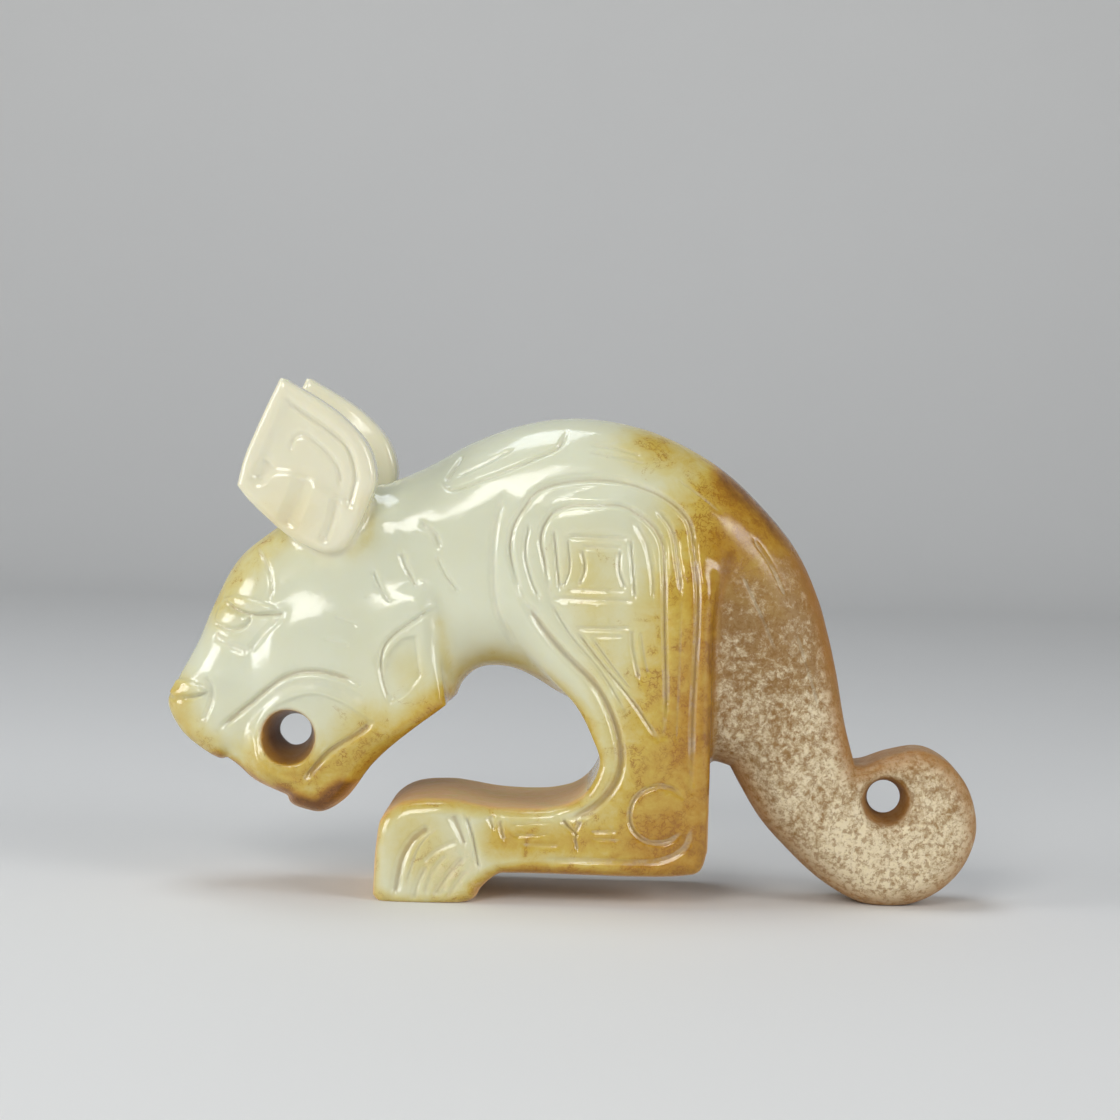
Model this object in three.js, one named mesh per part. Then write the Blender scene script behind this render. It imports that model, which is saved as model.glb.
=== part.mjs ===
// Jade dragon carving: one piece of stone, crouched, with its head down and its tail curled round a cord bore.
// The nose points to -X, the back is up, and the sides mirror each other about the XZ plane, but for the far ear.

import * as THREE from 'three';

// Driving dimensions, in millimetres
const LENGTH = 65; // from the nose to the outside of the curled tail
const TRUNK_THICKNESS = 11.6;
const LEG_THICKNESS = 14;
const CHEEK_THICKNESS = 12.8;
const MUZZLE_THICKNESS = 6.8;
const TAIL_ROOT_THICKNESS = 10.4;
const CURL_THICKNESS = 7.4;
const EAR_SPREAD = 14.2; // over the outsides of the two ears
const EAR_THICKNESS = 3.1;
const EAR_DISH_DEPTH = 0.3;
const FAR_EAR_BACK = 0.7; // how much further back the ear on the +Y side stands
const MOUTH_BORE_RIM = 4.6; // each bore is drilled from both sides, so it is widest at its two rims
const MOUTH_BORE_WAIST = 2.5;
const MOUTH_BORE_WEAR = 0.25; // how far the edge of its rim is rounded off
const TAIL_BORE_RIM = 4;
const TAIL_BORE_WAIST = 2.6;
const TAIL_BORE_WEAR = 1.1;
const LINE_WIDTH = 0.8; // of an engraved line
const LINE_DEPTH = 0.32;
const SHIN_GROOVE_WIDTH = 1.3;
const SHIN_GROOVE_DEPTH = 0.5;
const HEEL_RING_DIAMETER = 4.3;
const LEAF_RELIEF = 0.35; // how far the leaf round the mouth bore is sunk
const PAW_SPLIT_WIDTH = 1.6; // of the groove between the two paws and between the two heels
const PAW_SPLIT_DEPTH = 1.1;

// Fineness of the faceted surface
const GRID = 0.38;
const TRIANGLES = 9000;

// Outlines seen from the side, as smooth runs that meet at corners, each point [x, z]. The paws and the tail
// are drawn a little below 0, where the stone is ground flat to stand
const BODY_OUTLINE = [
  [[-16.1, 32.2], [-12.1, 34], [-8.2, 36.2], [-4, 37.7], [0.3, 38.2], [5, 37.5], [8.8, 36], [12, 34],
    [15, 31.2], [17.4, 28.3], [19.3, 24.5], [20.8, 19.2], [21.8, 14], [22.6, 11.2]],
  [[22.6, 11.2], [23.4, 11.3], [25.4, 12.1], [28, 12.5], [30.1, 11.5], [31.8, 9.3], [32.5, 6.3], [31.8, 3.7],
    [30.1, 1.5], [27.8, 0.2], [25.3, -0.2], [23, 0.2], [20.1, 1.8], [17.4, 4.2], [15.2, 6.6], [13.6, 9.1],
    [12.7, 10.7]],
  [[12.7, 10.7], [11.6, 11.1], [8, 13.5], [1, 15.6], [-1.1, 16.3], [-4.2, 17.9], [-6, 18.25], [-7.6, 18],
    [-8.7, 17.1], [-9.4, 15.9]],
  [[-9.4, 15.9], [-13, 17], [-15.8, 21], [-17.2, 26], [-17.2, 30.4], [-16.1, 32.2]],
];
const HEAD_OUTLINE = [
  [[-16.1, 32.2], [-19.1, 31.6], [-21.9, 30.3], [-24.4, 28.6], [-27, 26.3], [-29, 22.5], [-30.2, 19.5],
    [-31.8, 16.4], [-32.5, 14.7], [-31.5, 12.6], [-30.1, 11.4], [-28.1, 10.3], [-27.5, 10.4]],
  [[-27.5, 10.4], [-26.6, 9.8], [-25.4, 8.9], [-22.5, 7.7]],
  [[-22.5, 7.7], [-22.2, 7.1], [-20.9, 6.6], [-19.6, 6.5], [-17.8, 7.6], [-15.7, 10.4], [-13.1, 12.9],
    [-9.8, 15.5]],
  [[-9.8, 15.5], [-10.5, 19.7], [-11.1, 23], [-11.8, 26.9], [-13.1, 30], [-16.1, 32.2]],
];
const LEG_OUTLINE = [
  [[-5.4, 33], [-6.4, 29.4], [-6.3, 26.3], [-5.5, 23.3], [-3.9, 20.5], [-2.2, 18.2], [0.4, 15.6], [1.7, 13.3],
    [2.35, 11.4], [1.7, 9.5], [0.6, 8.4], [-1.1, 7.8], [-3.2, 7.6], [-6.1, 7.7], [-9.9, 8.2], [-13.1, 7.8],
    [-14.7, 6.5], [-15.1, 4.6], [-15.3, 0.4]],
  [[-15.3, 0.4], [-14.6, -0.3], [-9.3, -0.3], [-7.3, 0.3], [-6.7, 1.2], [-5.4, 2.3], [-4.3, 2.4], [9.1, 2.6],
    [10.4, 3], [11, 4.6]],
  [[11, 4.6], [11, 15.6], [10.9, 21.7], [11.1, 25.8]],
  [[11.1, 25.8], [10.6, 29.4], [8.6, 32.6], [5, 34.5], [1, 35.2], [-3, 34.8], [-5.4, 33]],
];
const EAR_OUTLINE = [
  [[-23.2, 41], [-25, 37], [-26, 34.5], [-26.5, 32.4]],
  [[-26.5, 32.4], [-25.4, 31.1], [-22.4, 28.5], [-20.9, 27.7], [-19.4, 27.2], [-18.2, 27.5], [-17.5, 28.3],
    [-16, 31.7], [-15.6, 33.2], [-16.3, 35.7], [-18.6, 38.2], [-23.2, 41]],
];
const EAR_DISH_OUTLINE = [
  [[-22.6, 39.2], [-25.3, 32.9]],
  [[-25.3, 32.9], [-24.7, 32.6], [-23.8, 33.4], [-22.4, 33.5], [-20.2, 32.6], [-18.5, 31.5], [-17.4, 31]],
  [[-17.4, 31], [-17.1, 33.4], [-18, 36], [-22.6, 39.2]],
];
const LEAF_OUTLINE = [
  [[-25, 12.4], [-24.3, 14.1], [-23.1, 15.1], [-20.3, 16.1], [-18, 15.5], [-15.6, 14]],
  [[-15.6, 14], [-18.3, 12], [-20.2, 10], [-20.9, 9.2]],
  [[-20.9, 9.2], [-23, 9.6], [-24.6, 10.8], [-25, 12.4]],
];

// Places are drawn on the outlines' own length and scaled to LENGTH
const drawn = [BODY_OUTLINE, HEAD_OUTLINE, LEG_OUTLINE, EAR_OUTLINE].flat(2);
const drawnNose = Math.min(...drawn.map(([x]) => x));
const drawnTail = Math.max(...drawn.map(([x]) => x));
const drawnTop = Math.max(...drawn.map(([, z]) => z));
const share = LENGTH / (drawnTail - drawnNose);
const MOUTH_BORE_AT = [-22.3, 12.6];
const TAIL_BORE_AT = [25.1, 8.5];
const HEEL_RING_AT = [7.0, 7.4];

// Sections along each form: [x, z, thickness, rounding of its edge, distance of its middle from the XZ plane]
const FULLY_ROUND = 0.94; // a rounding as a share of half the thickness
const rounded = (thickness) => FULLY_ROUND * thickness / 2;
const BODY_SECTIONS = [
  [-14.5, 28, TRUNK_THICKNESS * 0.92, rounded(TRUNK_THICKNESS * 0.92)],
  [-6, 27, TRUNK_THICKNESS, rounded(TRUNK_THICKNESS)],
  [7, 28, TRUNK_THICKNESS, rounded(TRUNK_THICKNESS)],
  [14, 22, TAIL_ROOT_THICKNESS, rounded(TAIL_ROOT_THICKNESS)],
  [17, 13, (TAIL_ROOT_THICKNESS + CURL_THICKNESS) / 2, rounded((TAIL_ROOT_THICKNESS + CURL_THICKNESS) / 2)],
  [22, 6, CURL_THICKNESS * 1.08, rounded(CURL_THICKNESS)],
  [28, 5, CURL_THICKNESS, rounded(CURL_THICKNESS) * 0.75],
  [27, 11, CURL_THICKNESS * 0.9, rounded(CURL_THICKNESS) * 0.5],
  [22, 11.5, CURL_THICKNESS * 1.1, rounded(CURL_THICKNESS) * 0.5],
];
const HEAD_SECTIONS = [
  [-31.5, 14.5, MUZZLE_THICKNESS, 2.4],
  [-28, 12, MUZZLE_THICKNESS * 1.15, 2.2],
  [-28, 20, MUZZLE_THICKNESS * 1.4, 4],
  [-24.5, 27, CHEEK_THICKNESS * 0.84, 4.6],
  [-21, 19, CHEEK_THICKNESS, 4.2],
  [-22, 11, CHEEK_THICKNESS * 0.94, 3],
  [-19, 8, CHEEK_THICKNESS * 0.84, 2.2],
  [-11, 16.5, CHEEK_THICKNESS, 0.8],
  [-12, 22, CHEEK_THICKNESS * 0.98, 1.1],
  [-14, 27, TRUNK_THICKNESS * 0.95, 4],
  [-19, 30, CHEEK_THICKNESS * 0.9, 4.5],
];
const LEG_SECTIONS = [
  [1, 35, TRUNK_THICKNESS * 0.84, 3],
  [9, 33, TRUNK_THICKNESS * 0.86, 3],
  [2, 30, LEG_THICKNESS * 0.97, 2.2],
  [-6, 28, TRUNK_THICKNESS * 1.04, 2.2],
  [-3.5, 21, LEG_THICKNESS * 0.93, 2],
  [4, 24, LEG_THICKNESS, 1.2],
  [10, 22, LEG_THICKNESS, 0.9],
  [6, 10, LEG_THICKNESS, 0.9],
  [-4, 5, LEG_THICKNESS * 0.97, 1.1],
  [-12, 4, LEG_THICKNESS, 1.3],
];
const EAR_ROOT = 27; // height below which nothing is carved on the ears
const earMiddle = (EAR_SPREAD - EAR_THICKNESS) / 2;
const EAR_SECTIONS = [
  [-20, 28, EAR_THICKNESS, 0.7, earMiddle - 0.4],
  [-21, 33, EAR_THICKNESS, 0.6, earMiddle],
  [-22, 40, EAR_THICKNESS * 0.85, 0.6, earMiddle + EAR_THICKNESS * 0.075],
];

// Spacing of the points on a curve, in drawn millimetres
const OUTLINE_STEP = 0.4;

function smoothRun(points) {
  if (points.length === 2) {
    return points.map(([x, z]) => [x * share, z * share]);
  }
  const curve = new THREE.CatmullRomCurve3(points.map(([x, z]) => new THREE.Vector3(x * share, 0, z * share)));
  const steps = Math.ceil(curve.getLength() / (OUTLINE_STEP * share));
  return curve.getSpacedPoints(steps).map((point) => [point.x, point.z]);
}

function closedLine(runs) {
  const line = [];
  for (const run of runs) {
    line.push(...smoothRun(run).slice(0, -1));
  }
  line.push(line[0]);
  return line;
}

// Distance from (x, z) to a line of points
function distanceToLine(line, x, z) {
  let best = Infinity;
  for (let i = 0; i + 1 < line.length; i++) {
    const [ax, az] = line[i];
    const dx = line[i + 1][0] - ax;
    const dz = line[i + 1][1] - az;
    const along = ((x - ax) * dx + (z - az) * dz) / (dx * dx + dz * dz);
    const t = Math.min(1, Math.max(0, along));
    best = Math.min(best, (x - ax - t * dx) ** 2 + (z - az - t * dz) ** 2);
  }
  return Math.sqrt(best);
}

// The same, negative inside a closed line
function signedDistance(line, x, z) {
  let inside = false;
  for (let i = 0; i + 1 < line.length; i++) {
    const [ax, az] = line[i];
    const [bx, bz] = line[i + 1];
    if (az > z !== bz > z && x < ax + (bx - ax) * (z - az) / (bz - az)) {
      inside = !inside;
    }
  }
  return (inside ? -1 : 1) * distanceToLine(line, x, z);
}

// Thickness, rounding and middle at (x, z), each weighted by how near its section is
const SECTION_REACH = 1.5;
function sectionAt(sections, x, z) {
  let total = 0;
  let half = 0;
  let rounding = 0;
  let middle = 0;
  for (const [sx, sz, thickness, edge, offset = 0] of sections) {
    const away = ((x - sx * share) ** 2 + (z - sz * share) ** 2) / share ** 2;
    const weight = 1 / (away + SECTION_REACH ** 2) ** 2;
    total += weight;
    half += weight * thickness / 2;
    rounding += weight * edge;
    middle += weight * offset;
  }
  half /= total;
  return { half, rounding: Math.min(rounding / total, half), middle: middle / total };
}

// A form is an outline with a thickness: a slab with rounded edges. Its value is negative inside
function form(outline, sections) {
  const line = closedLine(outline);
  return (x, z) => {
    const { half, rounding, middle } = sectionAt(sections, x, z);
    const sideways = signedDistance(line, x, z) + rounding;
    return (y) => {
      const across = Math.abs(Math.abs(y) - middle) - half + rounding;
      const outside = Math.hypot(Math.max(sideways, 0), Math.max(across, 0));
      return Math.min(Math.max(sideways, across), 0) + outside - rounding;
    };
  };
}

// Joins two values with a fillet of about the given size
function fillet(a, b, size) {
  const overlap = Math.max(size - Math.abs(a - b), 0) / size;
  return Math.min(a, b) - overlap * overlap * size / 4;
}

// 0 at one value and 1 at another, whichever of the two is larger
function smoothStep(from, to, value) {
  return THREE.MathUtils.smoothstep((value - from) / (to - from), 0, 1);
}

// Carving: each cut gives, at (x, z), how deep the stone is taken down there
function groove(points, width = LINE_WIDTH, depth = LINE_DEPTH) {
  const line = smoothRun(points);
  return (x, z) => depth * Math.max(0, 1 - distanceToLine(line, x, z) / (width / 2));
}

function grooves(lines, width, depth) {
  return lines.map((points) => groove(points, width, depth));
}

function sunkArea(outline, depth, slope) {
  const line = closedLine(outline);
  return (x, z) => depth * smoothStep(slope, 0, signedDistance(line, x, z) + slope / 2);
}

function arc([x, z], diameter, from, to) {
  const points = [];
  const turns = 12;
  for (let i = 0; i <= turns; i++) {
    const angle = THREE.MathUtils.degToRad(from + (to - from) * i / turns);
    points.push([x + diameter / 2 / share * Math.cos(angle), z + diameter / 2 / share * Math.sin(angle)]);
  }
  return points;
}

const AREA_SLOPE = 0.5; // width of the slope round a sunk area
const earDish = sunkArea(EAR_DISH_OUTLINE, EAR_DISH_DEPTH, AREA_SLOPE);
const leaf = sunkArea(LEAF_OUTLINE, LEAF_RELIEF, AREA_SLOPE);
const earLines = grooves([
  [[-22.3, 35.2], [-21.7, 36.4], [-19.3, 34.9], [-18.4, 32.8]],
  [[-21.7, 32.8], [-22.9, 29.4]],
  [[-19.1, 31.3], [-19.8, 28.4]],
]);
const headLines = grooves([
  [[-28, 12.9], [-25.5, 15], [-22.5, 17.4], [-19.8, 17.9], [-16.8, 17.1]],
  [[-15.6, 14], [-18.3, 12], [-20.9, 9.2]],
  [[-25, 26.9], [-24.1, 25.4], [-23.8, 23.7]],
  [[-27.4, 22.9], [-25.4, 22.5], [-23, 22.4]],
  [[-25.6, 22.3], [-26.2, 21.1], [-28.3, 21.2]],
  [[-22.9, 22.4], [-24.9, 20.4], [-25.7, 19.2], [-28.3, 20.2]],
  [[-29.3, 17.3], [-28.6, 16.4], [-28.7, 15.1]],
  [[-11, 23.2], [-13.9, 21.1], [-15, 18.9], [-14.1, 15.7]],
  [[-12.3, 20.4], [-11.9, 17.6], [-13.9, 15.5]],
  [[-11.1, 21.6], [-13.4, 20.5], [-14.6, 19.2]],
]);
const legLines = [
  groove([[-3.6, 23.4], [-2.1, 21.5], [1.6, 17.8], [3.6, 14.1], [4, 11.7], [2.3, 8.2], [-0.6, 7]],
    SHIN_GROOVE_WIDTH, SHIN_GROOVE_DEPTH),
  ...grooves([
    [[-3.6, 23.4], [-5.1, 27.8], [-4.2, 31], [-1.2, 33.2], [3.8, 33.4], [7.4, 31.9], [9.3, 28.2], [9.7, 23],
      [9.6, 9.4]],
    [[-1.8, 24.1], [-2.7, 29.1], [-1.1, 31.3], [3.6, 31.6], [6.2, 30], [7, 26.9], [7.2, 20.9], [7.3, 13.7]],
    [[-0.7, 29.1], [4.2, 29]],
    [[4.3, 29], [4.8, 24.3]],
    [[4.8, 24.2], [-1.7, 24.2]],
    [[-0.6, 29], [-1.3, 24.6]],
    [[0.6, 28.3], [3.6, 28.3]],
    [[3.6, 28.2], [4, 25.1]],
    [[0.5, 28.2], [0.2, 25.2]],
    [[0.2, 21.9], [4.6, 22]],
    [[4.6, 22], [5.3, 18]],
    [[0.2, 21.8], [4.6, 16.6], [6.9, 13.4]],
    arc(HEEL_RING_AT, HEEL_RING_DIAMETER, 40, 320),
    [[9.7, 6.3], [9, 4.9], [7.2, 3.7], [2.6, 3.6], [-2, 3.5]],
    [[0.1, 6.7], [1, 4.4]],
    [[-8.5, 7], [-7.9, 4.8]],
    [[-7.6, 6.8], [-7.1, 4.9], [-6.8, 2.8]],
    [[-5.6, 6.8], [-5.4, 5.2]],
    [[-10.7, 6.1], [-12.4, 4.6], [-13.4, 0.8]],
    [[-9.6, 4.6], [-11.1, 2.7], [-11.9, 0.8]],
    [[-8.1, 3.7], [-9.3, 2.3], [-10.3, 0.8]],
  ]),
];
const bodyLines = grooves([
  [[14, 29.1], [15.4, 27.1], [16.6, 24.7]],
  [[13.1, 26.3], [14.9, 22.7], [15.9, 20.4]],
  [[17.6, 21.7], [18.6, 18.8], [19.5, 16]],
  [[8, 33.7], [11.3, 31.2]],
  [[-10.2, 32.5], [-5.4, 34.1], [-1.5, 36]],
]);

// A bore drilled from both sides: two cones that meet at a waist in the middle. It gives the stone's value with the
// bore taken out and the edge of its rim worn
function cordBore([x, z], rim, waist, thickness, wear) {
  const slope = (rim - waist) / thickness;
  return (px, pz) => {
    const away = Math.hypot(px - x * share, pz - z * share);
    return (stone, y) => {
      const hole = (away - waist / 2 - slope * Math.abs(y)) / Math.hypot(1, slope);
      return -fillet(-stone, hole, wear);
    };
  };
}

// The stone before its lines are cut: four forms that run into each other
const HEAD_FILLET = 1.2;
const LEG_FILLET = 1.1;
const EAR_FILLET = 0.6;
const bodyForm = form(BODY_OUTLINE, BODY_SECTIONS);
const headForm = form(HEAD_OUTLINE, HEAD_SECTIONS);
const legForm = form(LEG_OUTLINE, LEG_SECTIONS);
const earForms = form(EAR_OUTLINE, EAR_SECTIONS);
const bores = [
  cordBore(MOUTH_BORE_AT, MOUTH_BORE_RIM, MOUTH_BORE_WAIST, CHEEK_THICKNESS, MOUTH_BORE_WEAR),
  cordBore(TAIL_BORE_AT, TAIL_BORE_RIM, TAIL_BORE_WAIST, CURL_THICKNESS, TAIL_BORE_WEAR),
];
const onNearEar = (x, y) => (y > 0 ? x - FAR_EAR_BACK : x); // where the place is on the ear of the -Y side

function earForm(x, z) {
  const near = earForms(x, z);
  const far = earForms(onNearEar(x, EAR_SPREAD), z);
  return (y) => (y > 0 ? far(y) : near(y));
}

function roughedOut(x, z) {
  const parts = [bodyForm, headForm, legForm, earForm].map((part) => part(x, z));
  return (y) => {
    const [body, head, leg, ear] = parts.map((part) => part(y));
    return fillet(fillet(fillet(body, head, HEAD_FILLET), leg, LEG_FILLET), ear, EAR_FILLET);
  };
}

function drilledAndGround(x, z) {
  const rough = roughedOut(x, z);
  const holes = bores.map((bore) => bore(x, z));
  return (y) => Math.max(-z, holes.reduce((stone, drilled) => drilled(stone, y), rough(y)));
}

// How much is carved away at a point of the rough surface whose normal is given
const SIDE_FACING = [0.3, 0.7]; // how far a surface faces sideways for the carving to start and to be full
const PAW_REACH = [11, 14]; // the groove between the paws, and between the heels, this far from the leg's middle
const PAW_TOP = [9, 7];
const LEG_MIDDLE = -2.1;
const deepest = (lines, x, z) => Math.max(0, ...lines.map((line) => line(x, z)));
function carvedAway({ x, y, z }, normal) {
  const nearSurface = smoothStep(-EAR_THICKNESS / 2, 0, roughedOut(x, z)(y));
  const side = smoothStep(...SIDE_FACING, normal.y * Math.sign(y)) * nearSurface;
  const onEar = z > EAR_ROOT * share && Math.abs(y) > earMiddle && earForm(x, z)(y) < EAR_FILLET / 2;
  const sideCut = onEar
    ? earDish(onNearEar(x, y), z) + deepest(earLines, onNearEar(x, y), z)
    : leaf(x, z) + deepest([...headLines, ...legLines, ...bodyLines], x, z);
  const fromLegMiddle = Math.abs(x / share - LEG_MIDDLE);
  const onPaws = smoothStep(...PAW_TOP, z / share) * smoothStep(...PAW_REACH, fromLegMiddle);
  const between = Math.max(0, 1 - Math.abs(y) / (PAW_SPLIT_WIDTH / 2));
  const split = fromLegMiddle < PAW_REACH[1] ? PAW_SPLIT_DEPTH * onPaws * between * Math.abs(normal.x) : 0;
  return sideCut * side + split * nearSurface;
}

function carve({ points, faces }) {
  const rough = new THREE.BufferGeometry().setFromPoints(points);
  rough.setIndex(faces.flat());
  rough.computeVertexNormals();
  const normals = rough.getAttribute('normal');
  const normal = new THREE.Vector3();
  const carved = points.map((point, i) => {
    normal.fromBufferAttribute(normals, i);
    return point.clone().addScaledVector(normal, -carvedAway(point, normal));
  });
  return { points: carved, faces };
}

// The edges and faces of a grid cell. A corner is three bits, one for each axis
const AXES = [0, 1, 2];
const CORNERS = [0, 1, 2, 3, 4, 5, 6, 7];
const CELL_EDGES = AXES.flatMap((axis) => (
  CORNERS.filter((corner) => !(corner >> axis & 1)).map((corner) => ({ axis, from: corner, to: corner | 1 << axis }))
));
const CELL_FACES = AXES.flatMap((axis) => [0, 1].map((side) => (
  CELL_EDGES.filter((edge) => edge.axis !== axis && (edge.from >> axis & 1) === side)
)));

// The patches in which the surface crosses a cell, each a list of the cell's edges
function patches(inside) {
  const patchOf = new Map();
  const join = (first, second) => {
    const kept = patchOf.get(first);
    const lost = patchOf.get(second);
    if (kept !== lost) {
      lost.forEach((edge) => patchOf.set(edge, kept));
      kept.push(...lost);
    }
  };
  const isCrossed = (edge) => inside[edge.from] !== inside[edge.to];
  CELL_EDGES.filter(isCrossed).forEach((edge) => patchOf.set(edge, [edge]));
  for (const face of CELL_FACES) {
    const crossed = face.filter(isCrossed);
    if (crossed.length === 2) {
      join(...crossed);
    } else if (crossed.length === 4) {
      const lone = CORNERS.filter((corner) => inside[corner]);
      for (const corner of lone) {
        const touching = crossed.filter((edge) => edge.from === corner || edge.to === corner);
        if (touching.length === 2) {
          join(...touching);
        }
      }
    }
  }
  return new Set(patchOf.values());
}

// The surface where the value is zero, as a mesh with one point for each patch in the cells of a grid
function surface(value, low, high, step) {
  const count = low.map((start, axis) => Math.ceil((high[axis] - start) / step));
  const at = (place, axis) => low[axis] + (high[axis] - low[axis]) * place / count[axis];
  const stride = [(count[1] + 1) * (count[2] + 1), 1, count[1] + 1];
  const offset = CORNERS.map((corner) => AXES.reduce((sum, axis) => sum + (corner >> axis & 1) * stride[axis], 0));
  const samples = new Float64Array((count[0] + 1) * stride[0]);
  for (let i = 0; i <= count[0]; i++) {
    for (let k = 0; k <= count[2]; k++) {
      const column = value(at(i, 0), at(k, 2));
      for (let j = 0; j <= count[1]; j++) {
        samples[i * stride[0] + j + k * stride[2]] = column(at(j, 1));
      }
    }
  }
  const points = [];
  const pointOf = new Map();
  const key = (cell, edge) => (cell * CORNERS.length + edge.from) * AXES.length + edge.axis;
  for (let i = 0; i < count[0]; i++) {
    for (let k = 0; k < count[2]; k++) {
      for (let j = 0; j < count[1]; j++) {
        const cell = i * stride[0] + j + k * stride[2];
        const held = offset.map((away) => samples[cell + away]);
        if (held.every((v) => v < 0) || held.every((v) => v >= 0)) {
          continue;
        }
        for (const patch of patches(held.map((v) => v < 0))) {
          const sum = [i, j, k].map((start) => start * patch.length);
          for (const edge of patch) {
            const along = held[edge.from] / (held[edge.from] - held[edge.to]);
            AXES.forEach((axis) => {
              sum[axis] += (edge.from >> axis & 1) + (axis === edge.axis ? along : 0);
            });
            pointOf.set(key(cell, edge), points.length);
          }
          points.push(new THREE.Vector3(...AXES.map((axis) => at(sum[axis] / patch.length, axis))));
        }
      }
    }
  }
  const faces = [];
  for (let node = 0; node < samples.length; node++) {
    for (const axis of AXES) {
      const here = samples[node] < 0;
      if (node + stride[axis] >= samples.length || here === samples[node + stride[axis]] < 0) {
        continue;
      }
      const [u, v] = [1 << (axis + 1) % 3, 1 << (axis + 2) % 3];
      const corners = [u | v, v, 0, u];
      const cells = corners.map((corner) => pointOf.get(key(node - offset[corner], { from: corner, axis })));
      if (cells.every((point) => point !== undefined)) {
        const [p, q, r, s] = here ? cells : cells.reverse();
        faces.push([p, q, r], [p, r, s]);
      }
    }
  }
  return { points, faces };
}

// Squared distances to a set of planes, added up: what a vertex costs the surface by moving
const LEAST_DETERMINANT = 1e-4; // below this the planes don't fix a point
class PlaneSum {
  constructor() {
    this.terms = new Float64Array(10);
  }

  addPlane(n, d, weight) {
    const v = [n.x, n.y, n.z, d];
    let slot = 0;
    for (let i = 0; i < 4; i++) {
      for (let j = i; j < 4; j++) {
        this.terms[slot++] += weight * v[i] * v[j];
      }
    }
  }

  add(other) {
    for (let i = 0; i < this.terms.length; i++) {
      this.terms[i] += other.terms[i];
    }
    return this;
  }

  cost(p) {
    const [xx, xy, xz, xd, yy, yz, yd, zz, zd, dd] = this.terms;
    return xx * p.x * p.x + yy * p.y * p.y + zz * p.z * p.z + dd
      + 2 * (xy * p.x * p.y + xz * p.x * p.z + yz * p.y * p.z + xd * p.x + yd * p.y + zd * p.z);
  }

  best(fallbacks, reach) {
    const [xx, xy, xz, xd, yy, yz, yd, zz, zd] = this.terms;
    const matrix = new THREE.Matrix3().set(xx, xy, xz, xy, yy, yz, xz, yz, zz);
    const size = Math.max(xx, yy, zz);
    const point = new THREE.Vector3(-xd, -yd, -zd);
    if (matrix.determinant() > LEAST_DETERMINANT * size ** 3) {
      point.applyMatrix3(matrix.invert());
      if (point.distanceTo(fallbacks[0]) < reach) {
        return point;
      }
    }
    return fallbacks.reduce((kept, other) => (this.cost(other) < this.cost(kept) ? other : kept));
  }
}

// A list that always gives its cheapest entry first
class CheapestFirst {
  constructor() {
    this.entries = [];
  }

  add(entry) {
    const list = this.entries;
    let i = list.push(entry) - 1;
    while (i > 0 && list[(i - 1) >> 1].cost > entry.cost) {
      list[i] = list[(i - 1) >> 1];
      i = (i - 1) >> 1;
    }
    list[i] = entry;
  }

  take() {
    const list = this.entries;
    const first = list[0];
    const entry = list.pop();
    let i = 0;
    while (2 * i + 1 < list.length) {
      let child = 2 * i + 1;
      if (child + 1 < list.length && list[child + 1].cost < list[child].cost) {
        child++;
      }
      if (list[child].cost >= entry.cost) {
        break;
      }
      list[i] = list[child];
      i = child;
    }
    if (list.length > 0) {
      list[i] = entry;
    }
    return first;
  }
}

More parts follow.
